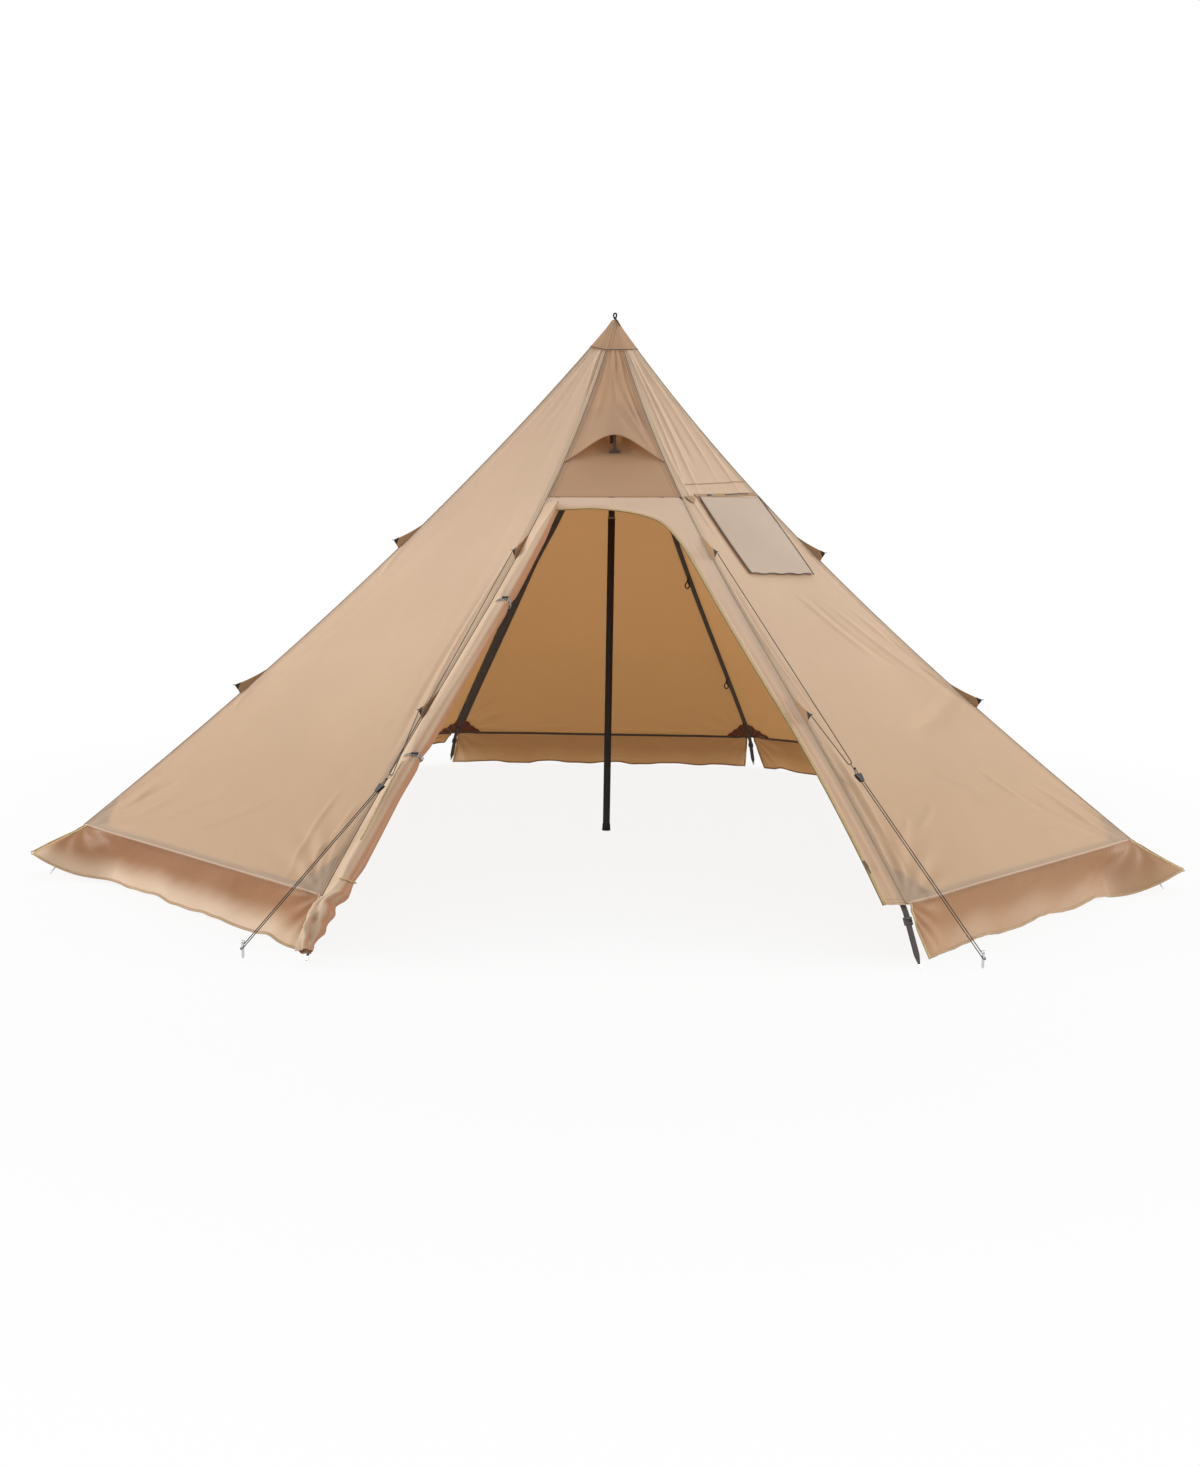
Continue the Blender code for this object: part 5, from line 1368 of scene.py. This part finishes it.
def guyline(side, k, side_corner, panel, ring_at):
    """A bridle from the ridge's two tabs through a ring, and a loop round the peg with the runner on it."""
    share, back, aside = ring_at
    tab_share = TAB_LENGTH / ridge_length(k)
    upper, lower = (ridge(k, start + tab_share, TAB_REACH + LINE_OUTSET) for start in TAB_START)
    way = unit(corner(side_corner) - corner(k))
    peg = corner(k) + way * GUY_ALONG + hem_normal(panel) * GUY_OUTWARD
    peg[2] = GUY_HEIGHT
    ring = upper + (peg - upper) * share - way * back + hem_normal(panel) * aside
    pull = unit(peg - ring)
    beside = unit(np.cross(pull, [0, 0, 1.0])) * (-1 if side == "left" else 1)
    flat = unit(np.cross(pull, beside))
    rise = unit((upper + lower) / 2 - ring)
    spread = unit(np.cross(pull, rise))
    if np.dot(spread, upper - lower) < 0:
        spread = -spread

    wire_gap = RING_WIRE + LINE_GAP + LINE_RADIUS
    middle = ring + rise * RING_RADIUS + rise * (LINE_BEND - wire_gap)
    turned = turn_round(middle, spread * LINE_BEND, -rise * LINE_BEND)
    points = [*straight(upper, turned[0]), *turned, *straight(lower, turned[-1])[::-1]]
    line = pipe("guyline_upper_" + side, points, LINE_RADIUS, CORD, 10)
    declare(line, node="guyline_bridle_" + side)
    aslant = np.cross(spread, rise)
    circle = [ring + (rise * math.cos(a) + aslant * math.sin(a)) * RING_RADIUS for a in full_turn(48)]
    hoop = pipe("guyline_hoop_" + side, circle, RING_WIRE, RING, 12, closed=True)
    declare(hoop, node="guyline_ring_" + side)

    half = PEG_RADIUS + LINE_GAP + LINE_RADIUS
    start = ring + pull * (RING_RADIUS + RING_WIRE + 0.0008)
    middle = peg + pull * 0.003
    first_end, last_end = middle + beside * half, middle - beside * half
    tail = ring + pull * 0.015 - beside * half
    lead = [start, start + pull * 0.003, start + beside * half + pull * 4 * half]
    points = [*catmull(lead, 3)[:-1], *straight(lead[-1], first_end)]
    points += [*turn_round(middle, beside * half, pull * half), *straight(tail, last_end)[::-1]]
    line = pipe("guyline_lower_" + side, points, LINE_RADIUS, CORD, 10)
    profile = [(0.0, -0.004), (0.0026, -0.0034), (0.0036, -0.001)]
    profile += [(0.0033, 0.001), (0.0024, 0.0034), (0.0, 0.004)]
    knot = lathe("guyline_knot_" + side, profile, CORD, (0, 0, 0), 16)
    knot.data.transform(seat_of(tail - pull * 0.002, beside, flat, pull))
    declare(knot)
    declare(line, node="guyline_loop_" + side)

    runner(side, ring + pull * 0.035, beside, pull)
    stake = lathe("guyline_stake_" + side, [
        (0.0, 0.0), (0.0012, 0.0006), (PEG_RADIUS * 0.92, 0.006), (PEG_RADIUS, 0.008), (PEG_RADIUS, 0.0478),
        (0.0055, 0.0486), (0.0068, 0.0502), (0.007, 0.052), (0.0063, 0.054), (0.0048, 0.055), (0.0, 0.0552),
    ], STEEL, (peg[0], peg[1], 0.0), 32)
    declare(stake, node="guy_peg_" + side)


def runner(side, place, beside, pull):
    """Two triangular plates on a core, with the loop's strands between them."""
    top, shoulder, low = 0.015, 0.01395, 0.0085
    outline = [(-top, 0.0), (top, 0.0), (shoulder, 0.0105), (low, 0.03), (-low, 0.03), (-shoulder, 0.0105)]
    z = np.cross(beside, pull)
    pieces = [
        plate("face", outline[::-1], 0.0026, place + z * lift, beside, pull, PLASTIC, 0.0006)
        for lift in (0.0032, -0.0032)
    ]
    seat = seat_of(place, beside, pull, z)
    pieces.append(block((-0.0038, 0.0, -0.002), (0.0038, 0.03, 0.002), seat, PLASTIC, 0.0004))
    name = "guyline_runner_" + side
    declare(join("guyline_slider_" + side, pieces), name, name)


def guylines():
    sides = (("left", 0, 7, 7), ("right", 1, 2, 1))
    for side, ring_at in zip(sides, zip(RING_SHARES, RING_BACK, RING_OUT)):
        guyline(*side, ring_at)


# Small pieces inside the tent

def back_left_binding_and_shade():
    """A broad dark strip on both cloths inside the back left ridge: partly its dark binding, partly painted
    shade beside the webbing.
    """
    t = np.linspace(0.33, 0.992, 120)
    for k in (4, 5):
        normal = gore_normal(k, t)
        width = np.linalg.norm(ridge(k + 1, t) - ridge(k, t), axis=-1)
        across = unit(ridge(k + 1, t) - ridge(k, t))
        u = 0.015 / width
        if k == 4:
            u = 1 - (0.015 + 0.03 * (1 - smooth(0.33, 0.5, t))) / width
        path = surface(k, u, t) - normal * 0.0042
        # Dark tape colour: partly binding, partly painted shade along the ridge
        strip = ribbon("ridge_binding_and_shade_" + PANELS[k], path, across, normal, 0.03, 0.0014, SEAM_TAPE)
        declare(strip)


def inside_loops():
    """Two small cord loops that hang from the back right ridge."""
    hang = np.array([0, 0, -1.0])
    for place in (0.498, 0.793):
        spot = np.array([place])
        along, normal, across = (a[0] for a in ridge_frame(4, spot))
        start = ridge(4, spot)[0] - normal * 0.014
        path = [start]
        for back, low, aside in (
            (-0.01, 0.012, 0), (-0.016, 0.032, 0.012), (-0.014, 0.046, 0),
            (-0.012, 0.032, -0.012), (-0.006, 0.012, 0),
        ):
            path.append(start + normal * back + hang * low + across * aside)
        path.append(start + along * 0.006)
        loop = pipe("inside_loop_%d" % round(place * 1000), catmull(path, 6), 0.0032, BLACK_CORD)
        declare(loop)


def inner_patches():
    """Triangles of darker cloth inside the hem corners, where the straps are sewn on."""
    size = 0.13
    across, up = grid((0, 1, 30), (0, 1, 30))
    for k in range(8):
        for panel in (k, (k - 1) % 8):
            if panel == 0:
                continue
            width = np.linalg.norm(corner(panel + 1) - corner(panel))
            t = 0.992 - up * size / ridge_length(panel)
            u = across * (1 - up) * size / width + 0.006
            if panel != k:
                u = 1 - u
            points = surface(panel, u, t) - gore_normal(panel, t) * 0.0066
            thing = cloth("corner_patch_%s_%s" % (NAMES[k], PANELS[panel]), points, PATCH)
            declare(thing)


def floor():
    """A pale floor that goes over into the white background."""
    t = material_tree("floor_pale")
    spot = t.split(t.where())
    flat = t.add("CombineXYZ", X=spot[0], Y=spot[1]).outputs[0]
    away = t.add("VectorMath", {"operation": "LENGTH"}, i0=flat).outputs["Value"]
    settings = {"interpolation_type": "SMOOTHSTEP"}
    fade = t.add("MapRange", settings, Value=away, From_Min=2.3, From_Max=4.6, To_Min=0.88).outputs[0]
    ground = t.add("BsdfPrincipled", Base_Color=four((0.7, 0.7, 0.7)), Roughness=0.9)
    white = t.add("Emission", Color=four((1, 1, 1)), Strength=1.0)
    material = t.done(t.mix_shaders(t.times(t.camera_rays(), fade), ground, white))
    size = 60.0
    corners = [(-size, -size, 0), (size, -size, 0), (size, size, 0), (-size, size, 0)]
    add_mesh("floor", corners, [(0, 1, 2, 3)], material)


def light():
    """A world that lights softly and shows white, and large soft lamps."""
    t = Tree("studio", bpy.data.worlds, "OutputWorld")
    lit = t.add("Background", Color=four((1, 1, 1)), Strength=WORLD_LIGHT)
    shown = t.add("Background", Color=four((1, 1, 1)), Strength=1.0)
    bpy.context.scene.world = t.done(t.mix_shaders(t.camera_rays(), lit, shown))
    for name, place, target, power, size in LAMPS:
        data = bpy.data.lights.new(name, "AREA")
        data.energy = power
        data.size = size
        lamp = add_object(name, data)
        lamp.location = place
        lamp.rotation_euler = (Vector(target) - Vector(place)).to_track_quat("-Z", "Y").to_euler()
    bpy.context.scene.view_settings.view_transform = "Standard"


guylines()
gores()
hood()
vent()
door_frame()
peak_cap()
skirts()
door_roll()
webbing_and_straps()
strut()
stove_flap()
flap_seams()
stove_jack()
slider()
pole()
peak_loop()
inner_patches()
back_left_binding_and_shade()
inside_loops()
floor()
light()
